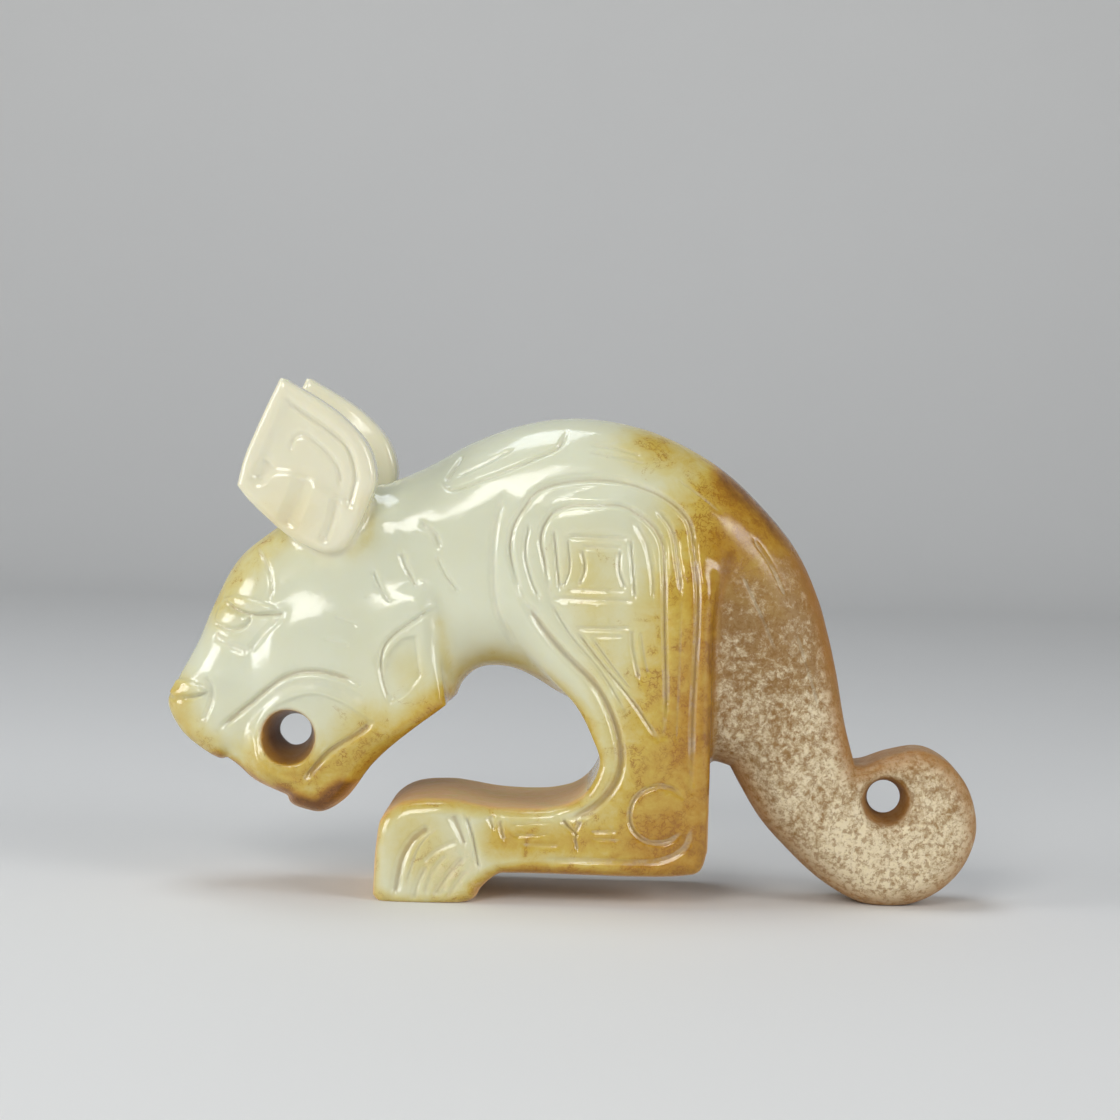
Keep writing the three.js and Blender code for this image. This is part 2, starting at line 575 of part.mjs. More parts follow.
// Thins a mesh: the edge whose loss changes the surface least is drawn together first
const SHORT_EDGE_PREFERENCE = 2e-4;
const THINNEST_TRIANGLE = 0.08; // height over longest side
const MOST_TURN = 0.5; // cosine of the most that a triangle may turn
function thin({ points, faces }, wanted) {
  const place = [...points];
  const around = points.map(() => new Set());
  const sums = points.map(() => new PlaneSum());
  const stamp = new Uint32Array(points.length);
  const triangle = new THREE.Triangle();
  const normal = new THREE.Vector3();
  faces.forEach((face, f) => {
    triangle.set(...face.map((v) => place[v]));
    triangle.getNormal(normal);
    for (const v of face) {
      around[v].add(f);
      sums[v].addPlane(normal, -normal.dot(triangle.a), triangle.getArea());
    }
  });
  const queue = new CheapestFirst();
  const neighbours = (v) => new Set([...around[v]].flatMap((f) => faces[f]).filter((other) => other !== v));
  const propose = (a, b) => {
    const sum = new PlaneSum().add(sums[a]).add(sums[b]);
    const length = place[a].distanceTo(place[b]);
    const middle = place[a].clone().lerp(place[b], 0.5);
    const target = sum.best([middle, place[a], place[b]], length);
    const cost = sum.cost(target) + SHORT_EDGE_PREFERENCE * length * length;
    queue.add({ cost, a, b, target, stamps: stamp[a] + stamp[b] });
  };
  const staysSound = (v, other, target) => {
    for (const f of around[v]) {
      if (faces[f].includes(other)) {
        continue;
      }
      triangle.set(...faces[f].map((w) => place[w]));
      const before = triangle.getNormal(new THREE.Vector3());
      triangle.set(...faces[f].map((w) => (w === v ? target : place[w])));
      const after = triangle.getNormal(new THREE.Vector3());
      const { a, b, c } = triangle;
      const longest = Math.max(a.distanceTo(b), b.distanceTo(c), c.distanceTo(a));
      if (before.dot(after) < MOST_TURN || triangle.getArea() * 2 < THINNEST_TRIANGLE * longest * longest) {
        return false;
      }
    }
    return true;
  };
  for (let v = 0; v < points.length; v++) {
    neighbours(v).forEach((other) => v < other && propose(v, other));
  }
  let alive = faces.length;
  while (alive > wanted && queue.entries.length > 0) {
    const { a, b, target, stamps } = queue.take();
    if (!place[a] || !place[b] || stamps !== stamp[a] + stamp[b]) {
      continue;
    }
    const shared = [...neighbours(a)].filter((v) => neighbours(b).has(v));
    if (shared.length !== 2 || !staysSound(a, b, target) || !staysSound(b, a, target)) {
      continue;
    }
    for (const f of [...around[b]]) {
      if (faces[f].includes(a)) {
        faces[f].forEach((v) => around[v].delete(f));
        faces[f] = null;
        alive--;
      } else {
        faces[f] = faces[f].map((v) => (v === b ? a : v));
        around[a].add(f);
      }
    }
    place[a] = target;
    sums[a].add(sums[b]);
    place[b] = null;
    const touched = neighbours(a);
    stamp[a] += 1;
    touched.forEach((v) => propose(a, v));
  }
  const renumbered = new Map();
  const kept = [];
  place.forEach((point, v) => {
    if (point) {
      renumbered.set(v, kept.length);
      kept.push(point);
    }
  });
  return { points: kept, faces: faces.filter((face) => face).map((face) => face.map((v) => renumbered.get(v))) };
}

const margin = GRID * 2;
const widest = Math.max(EAR_SPREAD, LEG_THICKNESS, CHEEK_THICKNESS, TRUNK_THICKNESS) / 2;
const low = [drawnNose * share - margin, -widest - margin, -margin];
const high = [drawnTail * share + margin, widest + margin, drawnTop * share + margin];
const stone = thin(carve(surface(drilledAndGround, low, high, GRID)), TRIANGLES);
const geometry = new THREE.BufferGeometry().setFromPoints(stone.points);
geometry.setIndex(stone.faces.flat());
geometry.computeVertexNormals();

const jade = new THREE.MeshStandardMaterial({ color: 0xc9c79a, roughness: 0.22, metalness: 0 });
const dragon = new THREE.Mesh(geometry, jade);
dragon.name = 'jade_dragon';

const carvedDragon = new THREE.Group();
carvedDragon.add(dragon);

export default carvedDragon;
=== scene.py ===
from functools import reduce
from itertools import product
import math

import bpy
import numpy as np
from mathutils import Matrix, Vector


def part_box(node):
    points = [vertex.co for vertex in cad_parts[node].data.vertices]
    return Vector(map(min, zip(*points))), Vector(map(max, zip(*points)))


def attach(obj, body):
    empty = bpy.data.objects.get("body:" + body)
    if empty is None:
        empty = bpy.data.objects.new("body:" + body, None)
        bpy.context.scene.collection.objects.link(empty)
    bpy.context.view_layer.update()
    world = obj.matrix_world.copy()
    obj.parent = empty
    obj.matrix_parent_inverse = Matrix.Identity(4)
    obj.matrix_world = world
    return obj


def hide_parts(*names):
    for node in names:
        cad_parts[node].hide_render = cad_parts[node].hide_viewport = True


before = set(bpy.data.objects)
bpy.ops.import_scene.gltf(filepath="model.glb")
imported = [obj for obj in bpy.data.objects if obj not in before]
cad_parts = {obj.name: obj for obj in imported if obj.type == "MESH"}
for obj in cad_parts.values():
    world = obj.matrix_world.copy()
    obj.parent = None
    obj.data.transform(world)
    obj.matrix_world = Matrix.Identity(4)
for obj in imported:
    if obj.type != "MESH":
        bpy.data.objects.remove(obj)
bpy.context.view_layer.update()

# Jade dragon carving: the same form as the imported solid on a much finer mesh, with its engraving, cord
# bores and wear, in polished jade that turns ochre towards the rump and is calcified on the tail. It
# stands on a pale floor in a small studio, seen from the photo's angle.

MM = 0.001
NODE = "jade_dragon"
DRAWN_LENGTH = 65.0  # the places below are drawn on a carving this long, in millimetres
low_corner, high_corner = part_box(NODE)
SHARE = (high_corner[0] - low_corner[0]) / MM / DRAWN_LENGTH

# Sizes of the solid, in millimetres
TRUNK_THICKNESS = 11.6
LEG_THICKNESS = 14.0
CHEEK_THICKNESS = 12.8
MUZZLE_THICKNESS = 6.8
TAIL_ROOT_THICKNESS = 10.4
CURL_THICKNESS = 7.4
EAR_SPREAD = 14.2
EAR_THICKNESS = 3.1
FAR_EAR_BACK = 0.7  # how much further back the ear on the +Y side stands
MOUTH_BORE = {"at": (-22.3, 12.6), "rim": 4.6, "waist": 2.5, "through": CHEEK_THICKNESS, "wear": 0.25}
TAIL_BORE = {"at": (25.1, 8.5), "rim": 4.0, "waist": 2.6, "through": CURL_THICKNESS, "wear": 1.1}
PAW_SPLIT_WIDTH = 1.6
PAW_SPLIT_DEPTH = 1.1
EAR_MIDDLE = (EAR_SPREAD - EAR_THICKNESS) / 2

TOP = 41.2  # a little over the ears' tips
EAR_BASE = 27  # the ears stand free of the head above this height
PAW_SPLIT_TOP = 9  # the groove between the paws, and that between the heels, end at this height
FOOT_MIDDLE = -2.1
PAW_SPLIT_PLACES = (11, 14)  # they deepen between these distances from the foot's middle

# Fineness, in millimetres but for the triangles
GRID = 0.145
RELIEF_PIXEL = 0.05
CURVE_STEPS = 10  # of a curve between two of its points
MOST_TRIANGLES = 194000

# Outlines seen from the side, as smooth runs that meet at corners, each point (x, z)
BODY_OUTLINE = [
    [(-16.1, 32.2), (-12.1, 34), (-8.2, 36.2), (-4, 37.7), (0.3, 38.2), (5, 37.5), (8.8, 36), (12, 34),
     (15, 31.2), (17.4, 28.3), (19.3, 24.5), (20.8, 19.2), (21.8, 14), (22.6, 11.2)],
    [(22.6, 11.2), (23.4, 11.3), (25.4, 12.1), (28, 12.5), (30.1, 11.5), (31.8, 9.3), (32.5, 6.3),
     (31.8, 3.7), (30.1, 1.5), (27.8, 0.2), (25.3, -0.2), (23, 0.2), (20.1, 1.8), (17.4, 4.2),
     (15.2, 6.6), (13.6, 9.1), (12.7, 10.7)],
    [(12.7, 10.7), (11.6, 11.1), (8, 13.5), (1, 15.6), (-1.1, 16.3), (-4.2, 17.9), (-6, 18.25),
     (-7.6, 18), (-8.7, 17.1), (-9.4, 15.9)],
    [(-9.4, 15.9), (-13, 17), (-15.8, 21), (-17.2, 26), (-17.2, 30.4), (-16.1, 32.2)],
]
HEAD_OUTLINE = [
    [(-16.1, 32.2), (-19.1, 31.6), (-21.9, 30.3), (-24.4, 28.6), (-27, 26.3), (-29, 22.5),
     (-30.2, 19.5), (-31.8, 16.4), (-32.5, 14.7), (-31.5, 12.6), (-30.1, 11.4), (-28.1, 10.3),
     (-27.5, 10.4)],
    [(-27.5, 10.4), (-26.6, 9.8), (-25.4, 8.9), (-22.5, 7.7)],
    [(-22.5, 7.7), (-22.2, 7.1), (-20.9, 6.6), (-19.6, 6.5), (-17.8, 7.6), (-15.7, 10.4), (-13.1, 12.9),
     (-9.8, 15.5)],
    [(-9.8, 15.5), (-10.5, 19.7), (-11.1, 23), (-11.8, 26.9), (-13.1, 30), (-16.1, 32.2)],
]
LEG_OUTLINE = [
    [(-5.4, 33), (-6.4, 29.4), (-6.3, 26.3), (-5.5, 23.3), (-3.9, 20.5), (-2.2, 18.2), (0.4, 15.6),
     (1.7, 13.3), (2.35, 11.4), (1.7, 9.5), (0.6, 8.4), (-1.1, 7.8), (-3.2, 7.6), (-6.1, 7.7),
     (-9.9, 8.2), (-13.1, 7.8), (-14.7, 6.5), (-15.1, 4.6), (-15.3, 0.4)],
    [(-15.3, 0.4), (-14.6, -0.3), (-9.3, -0.3), (-7.3, 0.3), (-6.7, 1.2), (-5.4, 2.3), (-4.3, 2.4),
     (9.1, 2.6), (10.4, 3), (11, 4.6)],
    [(11, 4.6), (11, 15.6), (10.9, 21.7), (11.1, 25.8)],
    [(11.1, 25.8), (10.6, 29.4), (8.6, 32.6), (5, 34.5), (1, 35.2), (-3, 34.8), (-5.4, 33)],
]
EAR_OUTLINE = [
    [(-23.2, 41), (-25, 37), (-26, 34.5), (-26.5, 32.4)],
    [(-26.5, 32.4), (-25.4, 31.1), (-22.4, 28.5), (-20.9, 27.7), (-19.4, 27.2), (-18.2, 27.5),
     (-17.5, 28.3), (-16, 31.7), (-15.6, 33.2), (-16.3, 35.7), (-18.6, 38.2), (-23.2, 41)],
]


# Sections along each form: (x, z, thickness, rounding of its edge) and, for the ears, how far out their
# middle is
FULLY_ROUND = 0.94


def rounded(thickness):
    return FULLY_ROUND * thickness / 2


TAIL_MIDDLE_THICKNESS = (TAIL_ROOT_THICKNESS + CURL_THICKNESS) / 2
BODY_SECTIONS = [
    (-14.5, 28, TRUNK_THICKNESS * 0.92, rounded(TRUNK_THICKNESS * 0.92)),
    (-6, 27, TRUNK_THICKNESS, rounded(TRUNK_THICKNESS)),
    (7, 28, TRUNK_THICKNESS, rounded(TRUNK_THICKNESS)),
    (14, 22, TAIL_ROOT_THICKNESS, rounded(TAIL_ROOT_THICKNESS)),
    (17, 13, TAIL_MIDDLE_THICKNESS, rounded(TAIL_MIDDLE_THICKNESS)),
    (22, 6, CURL_THICKNESS * 1.08, rounded(CURL_THICKNESS)),
    (28, 5, CURL_THICKNESS, rounded(CURL_THICKNESS) * 0.75),
    (27, 11, CURL_THICKNESS * 0.9, rounded(CURL_THICKNESS) * 0.5),
    (22, 11.5, CURL_THICKNESS * 1.1, rounded(CURL_THICKNESS) * 0.5),
]
HEAD_SECTIONS = [
    (-31.5, 14.5, MUZZLE_THICKNESS, 2.4),
    (-28, 12, MUZZLE_THICKNESS * 1.15, 2.2),
    (-28, 20, MUZZLE_THICKNESS * 1.4, 4),
    (-24.5, 27, CHEEK_THICKNESS * 0.84, 4.6),
    (-21, 19, CHEEK_THICKNESS, 4.2),
    (-22, 11, CHEEK_THICKNESS * 0.94, 3),
    (-19, 8, CHEEK_THICKNESS * 0.84, 2.2),
    (-11, 16.5, CHEEK_THICKNESS, 0.8),
    (-12, 22, CHEEK_THICKNESS * 0.98, 1.1),
    (-14, 27, TRUNK_THICKNESS * 0.95, 4),
    (-19, 30, CHEEK_THICKNESS * 0.9, 4.5),
]
LEG_SECTIONS = [
    (1, 35, TRUNK_THICKNESS * 0.84, 3),
    (9, 33, TRUNK_THICKNESS * 0.86, 3),
    (2, 30, LEG_THICKNESS * 0.97, 2.2),
    (-6, 28, TRUNK_THICKNESS * 1.04, 2.2),
    (-3.5, 21, LEG_THICKNESS * 0.93, 2),
    (4, 24, LEG_THICKNESS, 1.2),
    (10, 22, LEG_THICKNESS, 0.9),
    (6, 10, LEG_THICKNESS, 0.9),
    (-4, 5, LEG_THICKNESS * 0.97, 1.1),
    (-12, 4, LEG_THICKNESS, 1.3),
]
EAR_SECTIONS = [
    (-20, 28, EAR_THICKNESS, 0.7, EAR_MIDDLE - 0.4),
    (-21, 33, EAR_THICKNESS, 0.6, EAR_MIDDLE),
    (-22, 40, EAR_THICKNESS * 0.85, 0.6, EAR_MIDDLE + EAR_THICKNESS * 0.075),
]
HEAD_FILLET = 1.2
LEG_FILLET = 1.1
EAR_FILLET = 0.6

# Engraved lines on both sides: (points, width, depth) and, for a stroke that narrows, by what share it does
HEAD_LINES = [
    ([(-28, 12.9), (-25.5, 15), (-24, 16.3), (-22.5, 17.4), (-21.3, 17.8), (-19.8, 17.9), (-18.2, 17.6),
      (-16.8, 17.1)], 0.75, 0.4),
    ([(-26.4, 12.7), (-24.9, 14.5), (-23.2, 16.1), (-20.9, 16.95), (-18.4, 16.5),
      (-16.2, 15.3)], 1.3, 0.2),
    ([(-15.6, 13.95), (-16.9, 12.9), (-18.3, 12), (-19.2, 11.3), (-20.2, 10),
      (-20.9, 9.2)], 0.75, 0.42),
    ([(-26.2, 28), (-25.1, 27.2), (-24.3, 26.1), (-23.8, 24.9), (-23.8, 23.4)], 0.5, 0.16),
    ([(-27.6, 22.9), (-26.4, 22.35), (-25, 22.15), (-23.2, 22.35), (-22.6, 22.5)], 0.5, 0.36),
    ([(-25.6, 22.3), (-25.6, 21.7), (-26.2, 21.1), (-27.2, 20.9), (-28.6, 21.3)], 0.45, 0.26),
    ([(-22.7, 22.5), (-23.5, 21.6), (-24.5, 20.6), (-25.6, 19.2)], 0.9, 0.2),
    ([(-25.6, 19.2), (-26.9, 19.6), (-28.6, 20.3)], 0.9, 0.2),
    ([(-29.2, 17), (-28.6, 16.2), (-28.7, 15), (-29.3, 13.4)], 0.7, 0.2),
    ([(-30.9, 15.2), (-29.9, 15.4), (-28.9, 15.9)], 0.4, 0.24),
    ([(-10.8, 23.3), (-11.7, 22.7), (-12.7, 22), (-13.9, 21.1), (-14.7, 20.2), (-15, 18.9),
      (-14.9, 17.8), (-14.5, 16.4), (-14.1, 15.6)], 0.6, 0.3),
    ([(-13.7, 27.4), (-13.3, 26.3), (-12.4, 24.8)], 0.8, 0.24, 0.5),
    ([(-15.8, 25.9), (-15.3, 24.8), (-14.4, 23.5)], 0.4, 0.18, 0.3),
    ([(-12.2, 29.8), (-11.1, 28.9), (-10.6, 27.8)], 0.9, 0.24, 0.3),
    ([(-10.9, 27.2), (-10.1, 25.7), (-9, 24.4)], 0.45, 0.16, 0.6),
    ([(-18.7, 22.3), (-16.9, 21.6)], 0.3, 0.08),
    ([(-19.4, 20.5), (-17.5, 20.1)], 0.35, 0.1),
]
LEG_LINES = [
    ([(-3.6, 23.4), (-4.4, 25.2), (-5.1, 27.8), (-4.9, 29.6), (-4.2, 31), (-2.9, 32.6), (-1.2, 33.2),
      (1.2, 33.5), (3.8, 33.4), (6, 32.7), (7.4, 31.9), (8.3, 31.1), (8.9, 30.2), (9.3, 28.2),
      (9.6, 25.8), (9.7, 23), (9.5, 15.3), (9.6, 9.4)], 0.75, 0.3),
    ([(-1.8, 24.1), (-2.3, 26.7), (-2.7, 29.1), (-1.9, 30.8), (-1.1, 31.3), (0.1, 31.6), (1.8, 31.6),
      (3.6, 31.6), (4.8, 31), (6, 30.1), (6.8, 28.8), (7, 26.9), (7.1, 23.3), (7.2, 20.9), (7.4, 16.5),
      (7.3, 13.7)], 0.7, 0.3),
    ([(-3.9, 24), (-2.1, 21.5), (-0.2, 19.5), (1.6, 17.8), (2.6, 16.4), (3.6, 14.1), (4, 11.7),
      (3.6, 9.9), (2.3, 8.2), (0.6, 7.2), (-0.6, 7)], 1.1, 0.46),
    ([(-1.8, 23.9), (-0.2, 21.4), (2.2, 18.7), (4.3, 15.5)], 0.5, 0.2),
    ([(-3.6, 30), (-3.9, 27.8), (-3.3, 25.4), (-2.6, 24)], 0.55, 0.24),
    ([(-1.7, 29.6), (-1.35, 26.8), (-1.1, 24.8)], 0.5, 0.26),
    ([(6.3, 31.3), (7.5, 29.8), (8, 27.5), (8.4, 24.8)], 0.6, 0.26),
    ([(8.4, 24.6), (8.4, 19), (8.3, 13)], 0.35, 0.1),
    ([(4.6, 30.4), (5.6, 28.6), (6.1, 26.2), (6.2, 24.3)], 0.9, 0.2, 0.4),
    ([(-0.7, 29.1), (4.2, 29)], 0.5, 0.26),
    ([(4.3, 29), (4.8, 24.3)], 0.5, 0.26),
    ([(4.8, 24.2), (-1.7, 24.2)], 0.4, 0.2),
    ([(-0.6, 29), (-0.4, 26.5), (-0.9, 25)], 0.4, 0.22),
    ([(0.6, 28.3), (3.7, 28.3)], 0.45, 0.2),
    ([(3.5, 28.1), (3.5, 26.6), (4, 25.1)], 0.6, 0.26),
    ([(4, 24.95), (-0.5, 24.95)], 0.35, 0.16),
    ([(0.5, 28.1), (0.8, 26.7), (0.4, 25.3)], 0.6, 0.26),
    ([(0.2, 21.9), (4.6, 22.05)], 0.5, 0.24),
    ([(1.4, 21.3), (3.9, 21.4)], 0.35, 0.14),
    ([(4.6, 22), (4.7, 20.6), (5.3, 18)], 0.6, 0.22),
    ([(5.3, 21.8), (5.6, 20), (6, 18.4)], 0.35, 0.14),
    ([(0.2, 21.8), (2.3, 19.2), (4.6, 16.6), (6.9, 13.4)], 0.6, 0.28),
    ([(1.6, 21.1), (3.2, 19), (4.7, 17.2)], 0.4, 0.2),
    ([(8.9, 8.9), (8.1, 9.6), (6.6, 9.7), (5.3, 8.9), (4.8, 7.6), (5.1, 6.3), (6.2, 5.4), (7.8, 5.4),
      (8.8, 6.1)], 0.55, 0.3),
    ([(9.7, 6.6), (9.2, 5), (7.4, 3.9), (2.6, 3.7), (-2, 3.6)], 0.7, 0.2),
    ([(1.8, 6), (3.9, 6.1)], 0.35, 0.2),
    ([(1.9, 5.4), (4.1, 5.4)], 0.3, 0.14),
    ([(-0.5, 6.9), (0.3, 6.1), (0.9, 5.6)], 0.9, 0.34, 0.8),
    ([(1, 6.9), (0.6, 5.8), (0.8, 4.4)], 0.6, 0.26, 0.5),
    ([(-4.4, 6.4), (-1.1, 6.7)], 0.3, 0.12),
    ([(-4.2, 5.5), (-1.5, 5.7)], 0.35, 0.2, 0.5),
    ([(-3.6, 4.8), (-0.6, 4.8)], 0.35, 0.16),
    ([(-9.1, 7.1), (-8.6, 6.1), (-8, 4.6)], 1.5, 0.32, 0.6),
    ([(-8, 7), (-7.4, 5.2), (-6.9, 2.8)], 0.5, 0.3),
    ([(-6.2, 7), (-5.8, 5.9)], 1.0, 0.26, 0.7),
    ([(-5.4, 6.7), (-5, 5.1)], 0.8, 0.26, 0.4),
    ([(-10.7, 6.1), (-12.1, 5), (-12.9, 3.6), (-13.2, 2.4), (-13.5, 0.4)], 1.1, 0.36),
    ([(-10.2, 6.1), (-11.6, 4.5), (-12.2, 2.9), (-12.6, 1.5)], 0.4, 0.18),
    ([(-11.1, 2.9), (-11.7, 1.5), (-12, 0.2)], 0.8, 0.24),
    ([(-9.4, 3.9), (-10.6, 2.4), (-11.1, 0.7)], 0.6, 0.16),
    ([(-7.9, 2.6), (-8.7, 1.5), (-9.3, 0.4)], 0.6, 0.16),
    ([(-8.1, 3.7), (-9.3, 2.3), (-10.4, 0.5)], 0.7, 0.26),
    ([(-8.6, 5), (-10.2, 4.2), (-11.3, 3.2)], 0.6, 0.16),
    ([(-9.4, 1.6), (-10, 0.5)], 0.5, 0.16),
]
BODY_LINES = [
    ([(14, 29.1), (15.4, 27.1), (16.6, 24.7)], 0.4, 0.2),
    ([(13.1, 26.3), (14.9, 22.7), (15.9, 20.4)], 0.4, 0.18),
    ([(17.6, 21.7), (18.6, 18.8), (19.5, 16)], 0.4, 0.18),
    ([(8, 33.7), (9.8, 32.4), (11.3, 31.2)], 0.3, 0.14),
    ([(-5.7, 32.2), (-6.3, 29.4), (-6.4, 27.1), (-6, 23.2), (-4.5, 20.1)], 0.9, 0.16),
    ([(-10.6, 32.8), (-10, 32.4), (-7.3, 33.3), (-5.4, 34.1), (-3, 35.2), (-1.5, 36),
      (-0.9, 37.2)], 0.45, 0.26),
    ([(-10.3, 33.1), (-9.1, 35.1)], 0.4, 0.22),
    ([(-9.5, 33.4), (-7.1, 34.6), (-5.2, 35.7)], 0.4, 0.16),
    ([(1.1, 36.2), (3, 36), (5, 35.5)], 0.4, 0.16),
    ([(1.1, 35.6), (3.2, 35.3), (5.4, 34.9)], 0.4, 0.14),
]
EAR_LINES = [
    ([(-22.3, 35.1), (-22.15, 36.1), (-21.4, 36.5), (-20.5, 36), (-19.3, 34.9), (-18.5, 33.7),
      (-18.4, 32.4)], 0.55, 0.17),
    ([(-22.5, 38.9), (-21, 37.9), (-19.5, 36.9), (-18, 35.7), (-17.4, 34.5), (-17.2, 33),
      (-17.8, 30.6)], 0.55, 0.2),
    ([(-21.2, 33.1), (-21.9, 31), (-22.7, 29.2)], 2.0, 0.34),
    ([(-18.7, 31.6), (-19, 30), (-19.7, 28.1)], 1.1, 0.26),
    ([(-23.9, 34.2), (-24.6, 33.4), (-24.9, 32.9)], 1.9, 0.2),
]

# Sunk or raised areas: (outline, depth, width of the slope round it). A negative depth is raised
EAR_DISH = [
    [(-22.6, 39.2), (-25.3, 32.9)],
    [(-25.3, 32.9), (-24.7, 32.6), (-23.8, 33.4), (-22.4, 33.5), (-20.2, 32.6), (-18.5, 31.5),
     (-17.4, 31)],
    [(-17.4, 31), (-17.1, 33.4), (-18, 36), (-22.6, 39.2)],
]
LEAF = [
    [(-25, 12.4), (-24.3, 14.1), (-23.1, 15.1), (-20.3, 16.1), (-18, 15.5), (-15.6, 14)],
    [(-15.6, 14), (-18.3, 12), (-20.2, 10), (-20.9, 9.2)],
    [(-20.9, 9.2), (-23, 9.6), (-24.6, 10.8), (-25, 12.4)],
]
GILL_PANEL = [
    [(-12.3, 20.9), (-13.4, 20.6), (-14.6, 19.2)],
    [(-14.6, 19.2), (-14.7, 17.8), (-14.1, 15.7)],
    [(-14.1, 15.7), (-12.8, 16.5), (-11.8, 17.8)],
    [(-11.8, 17.8), (-12.3, 20.9)],
]
EYELID = [
    [(-27.7, 23.3), (-26.6, 23.5), (-25.2, 23.3), (-23.4, 22.7), (-24.6, 22.4), (-26, 22.5), (-27.7, 23.3)],
]
EYEBALL = [
    [(-28.2, 22.5), (-26.2, 22), (-25.9, 21.5), (-26.6, 21.2), (-28.4, 21.5), (-28.2, 22.5)],
]
NOSTRIL = [
    [(-32.3, 16.4), (-30.8, 16.6), (-29.1, 15.9), (-30.3, 15.5), (-31.9, 15.3), (-32.3, 16.4)],
]
SIDE_AREAS = [
    (LEAF, 0.16, 0.35),
    (GILL_PANEL, 0.24, 0.25),
    (EYELID, -0.32, 0.3),
    (EYEBALL, -0.16, 0.4),
    (NOSTRIL, -0.45, 0.4),
]
EAR_AREAS = [(EAR_DISH, 0.24, 0.8)]


# Curves and distances in the side view
def spline(points):
    """The centripetal curve through the points, as a line of points."""
    place = np.array(points, float)
    if len(place) == 2:
        return place
    place = np.vstack([2 * place[0] - place[1], place, 2 * place[-1] - place[-2]])
    line = []
    for a, b, c, d in zip(place, place[1:], place[2:], place[3:]):
        before, here, after = (math.sqrt(np.linalg.norm(q - p)) for p, q in ((a, b), (b, c), (c, d)))
        out = ((b - a) / before - (c - a) / (before + here) + (c - b) / here) * here
        into = ((c - b) / here - (d - b) / (here + after) + (d - c) / after) * here
        t = np.linspace(0, 1, CURVE_STEPS, endpoint=False)[:, None]
        line.append(b * (2 * t**3 - 3 * t**2 + 1) + out * (t**3 - 2 * t**2 + t)
                    + c * (3 * t**2 - 2 * t**3) + into * (t**3 - t**2))
    return np.vstack([*line, place[-2]])


def closed_line(runs):
    line = np.vstack([spline(run)[:-1] for run in runs])
    return np.vstack([line, line[:1]])


def line_distance(line, x, z):
    """How far each place is from a line, and how far along the line its nearest point is, from 0 to 1."""
    lengths = np.linalg.norm(np.diff(line, axis=0), axis=1)
    starts = np.concatenate([[0], np.cumsum(lengths)])
    best = np.full(x.shape, np.inf)
    along = np.zeros(x.shape)
    for (ax, az), (bx, bz), length, start in zip(line, line[1:], lengths, starts):
        dx, dz = bx - ax, bz - az
        t = np.clip(((x - ax) * dx + (z - az) * dz) / length**2, 0, 1)
        away = (x - ax - t * dx) ** 2 + (z - az - t * dz) ** 2
        nearer = away < best
        best[nearer] = away[nearer]
        along[nearer] = (start + t * length)[nearer]
    return np.sqrt(best), along / starts[-1]


def signed_distance(line, x, z):
    """The distance to a closed line, negative inside it."""
    inside = np.zeros(x.shape, bool)
    for (ax, az), (bx, bz) in zip(line, line[1:]):
        if az != bz:
            inside ^= ((az > z) != (bz > z)) & (x < ax + (bx - ax) * (z - az) / (bz - az))
    return np.where(inside, -1, 1) * line_distance(line, x, z)[0]


def smooth_step(start, end, value):
    t = np.clip((value - start) / (end - start), 0, 1)
    return t * t * (3 - 2 * t)


# The forms of the stone
SECTION_REACH = 1.5  # millimetres round a section's place where the form keeps to it
HALF_GRID_THICKNESS = LEG_THICKNESS * 0.54


def form(outline, sections, x, z, y):
    """A slab with rounded edges, negative inside, for columns at (x, z) and places y across the carving."""
    total = half = rounding = middle = 0
    for sx, sz, thickness, edge, *offset in sections:
        weight = 1 / ((x - sx) ** 2 + (z - sz) ** 2 + SECTION_REACH**2) ** 2
        total = total + weight
        half = half + weight * thickness / 2
        rounding = rounding + weight * edge
        middle = middle + weight * (offset[0] if offset else 0)
    half, middle = half / total, middle / total
    rounding = np.minimum(rounding / total, half)
    sideways = signed_distance(closed_line(outline), x, z) + rounding
    half, middle, rounding, sideways = (
        values.astype(np.float32)[:, None, :] for values in (half, middle, rounding, sideways))
    across = np.abs(np.abs(y)[None, :, None] - middle) - half + rounding
    outside = np.hypot(np.maximum(sideways, 0), np.maximum(across, 0))
    return np.minimum(np.maximum(sideways, across), 0) + outside - rounding


def fillet(a, b, size):
    """Two forms as one, with a hollow rounding of the size where they meet."""
    overlap = np.maximum(size - np.abs(a - b), 0) / size
    return np.minimum(a, b) - overlap**2 * size / 4


def cord_bore(bore, x, z, y):
    """Two cones that meet at a waist in the middle, negative inside."""
    slope = (bore["rim"] - bore["waist"]) / bore["through"]
    away = np.hypot(x - bore["at"][0], z - bore["at"][1]).astype(np.float32)[:, None, :]
    return (away - bore["waist"] / 2 - slope * np.abs(y)[None, :, None]) / math.hypot(1, slope)


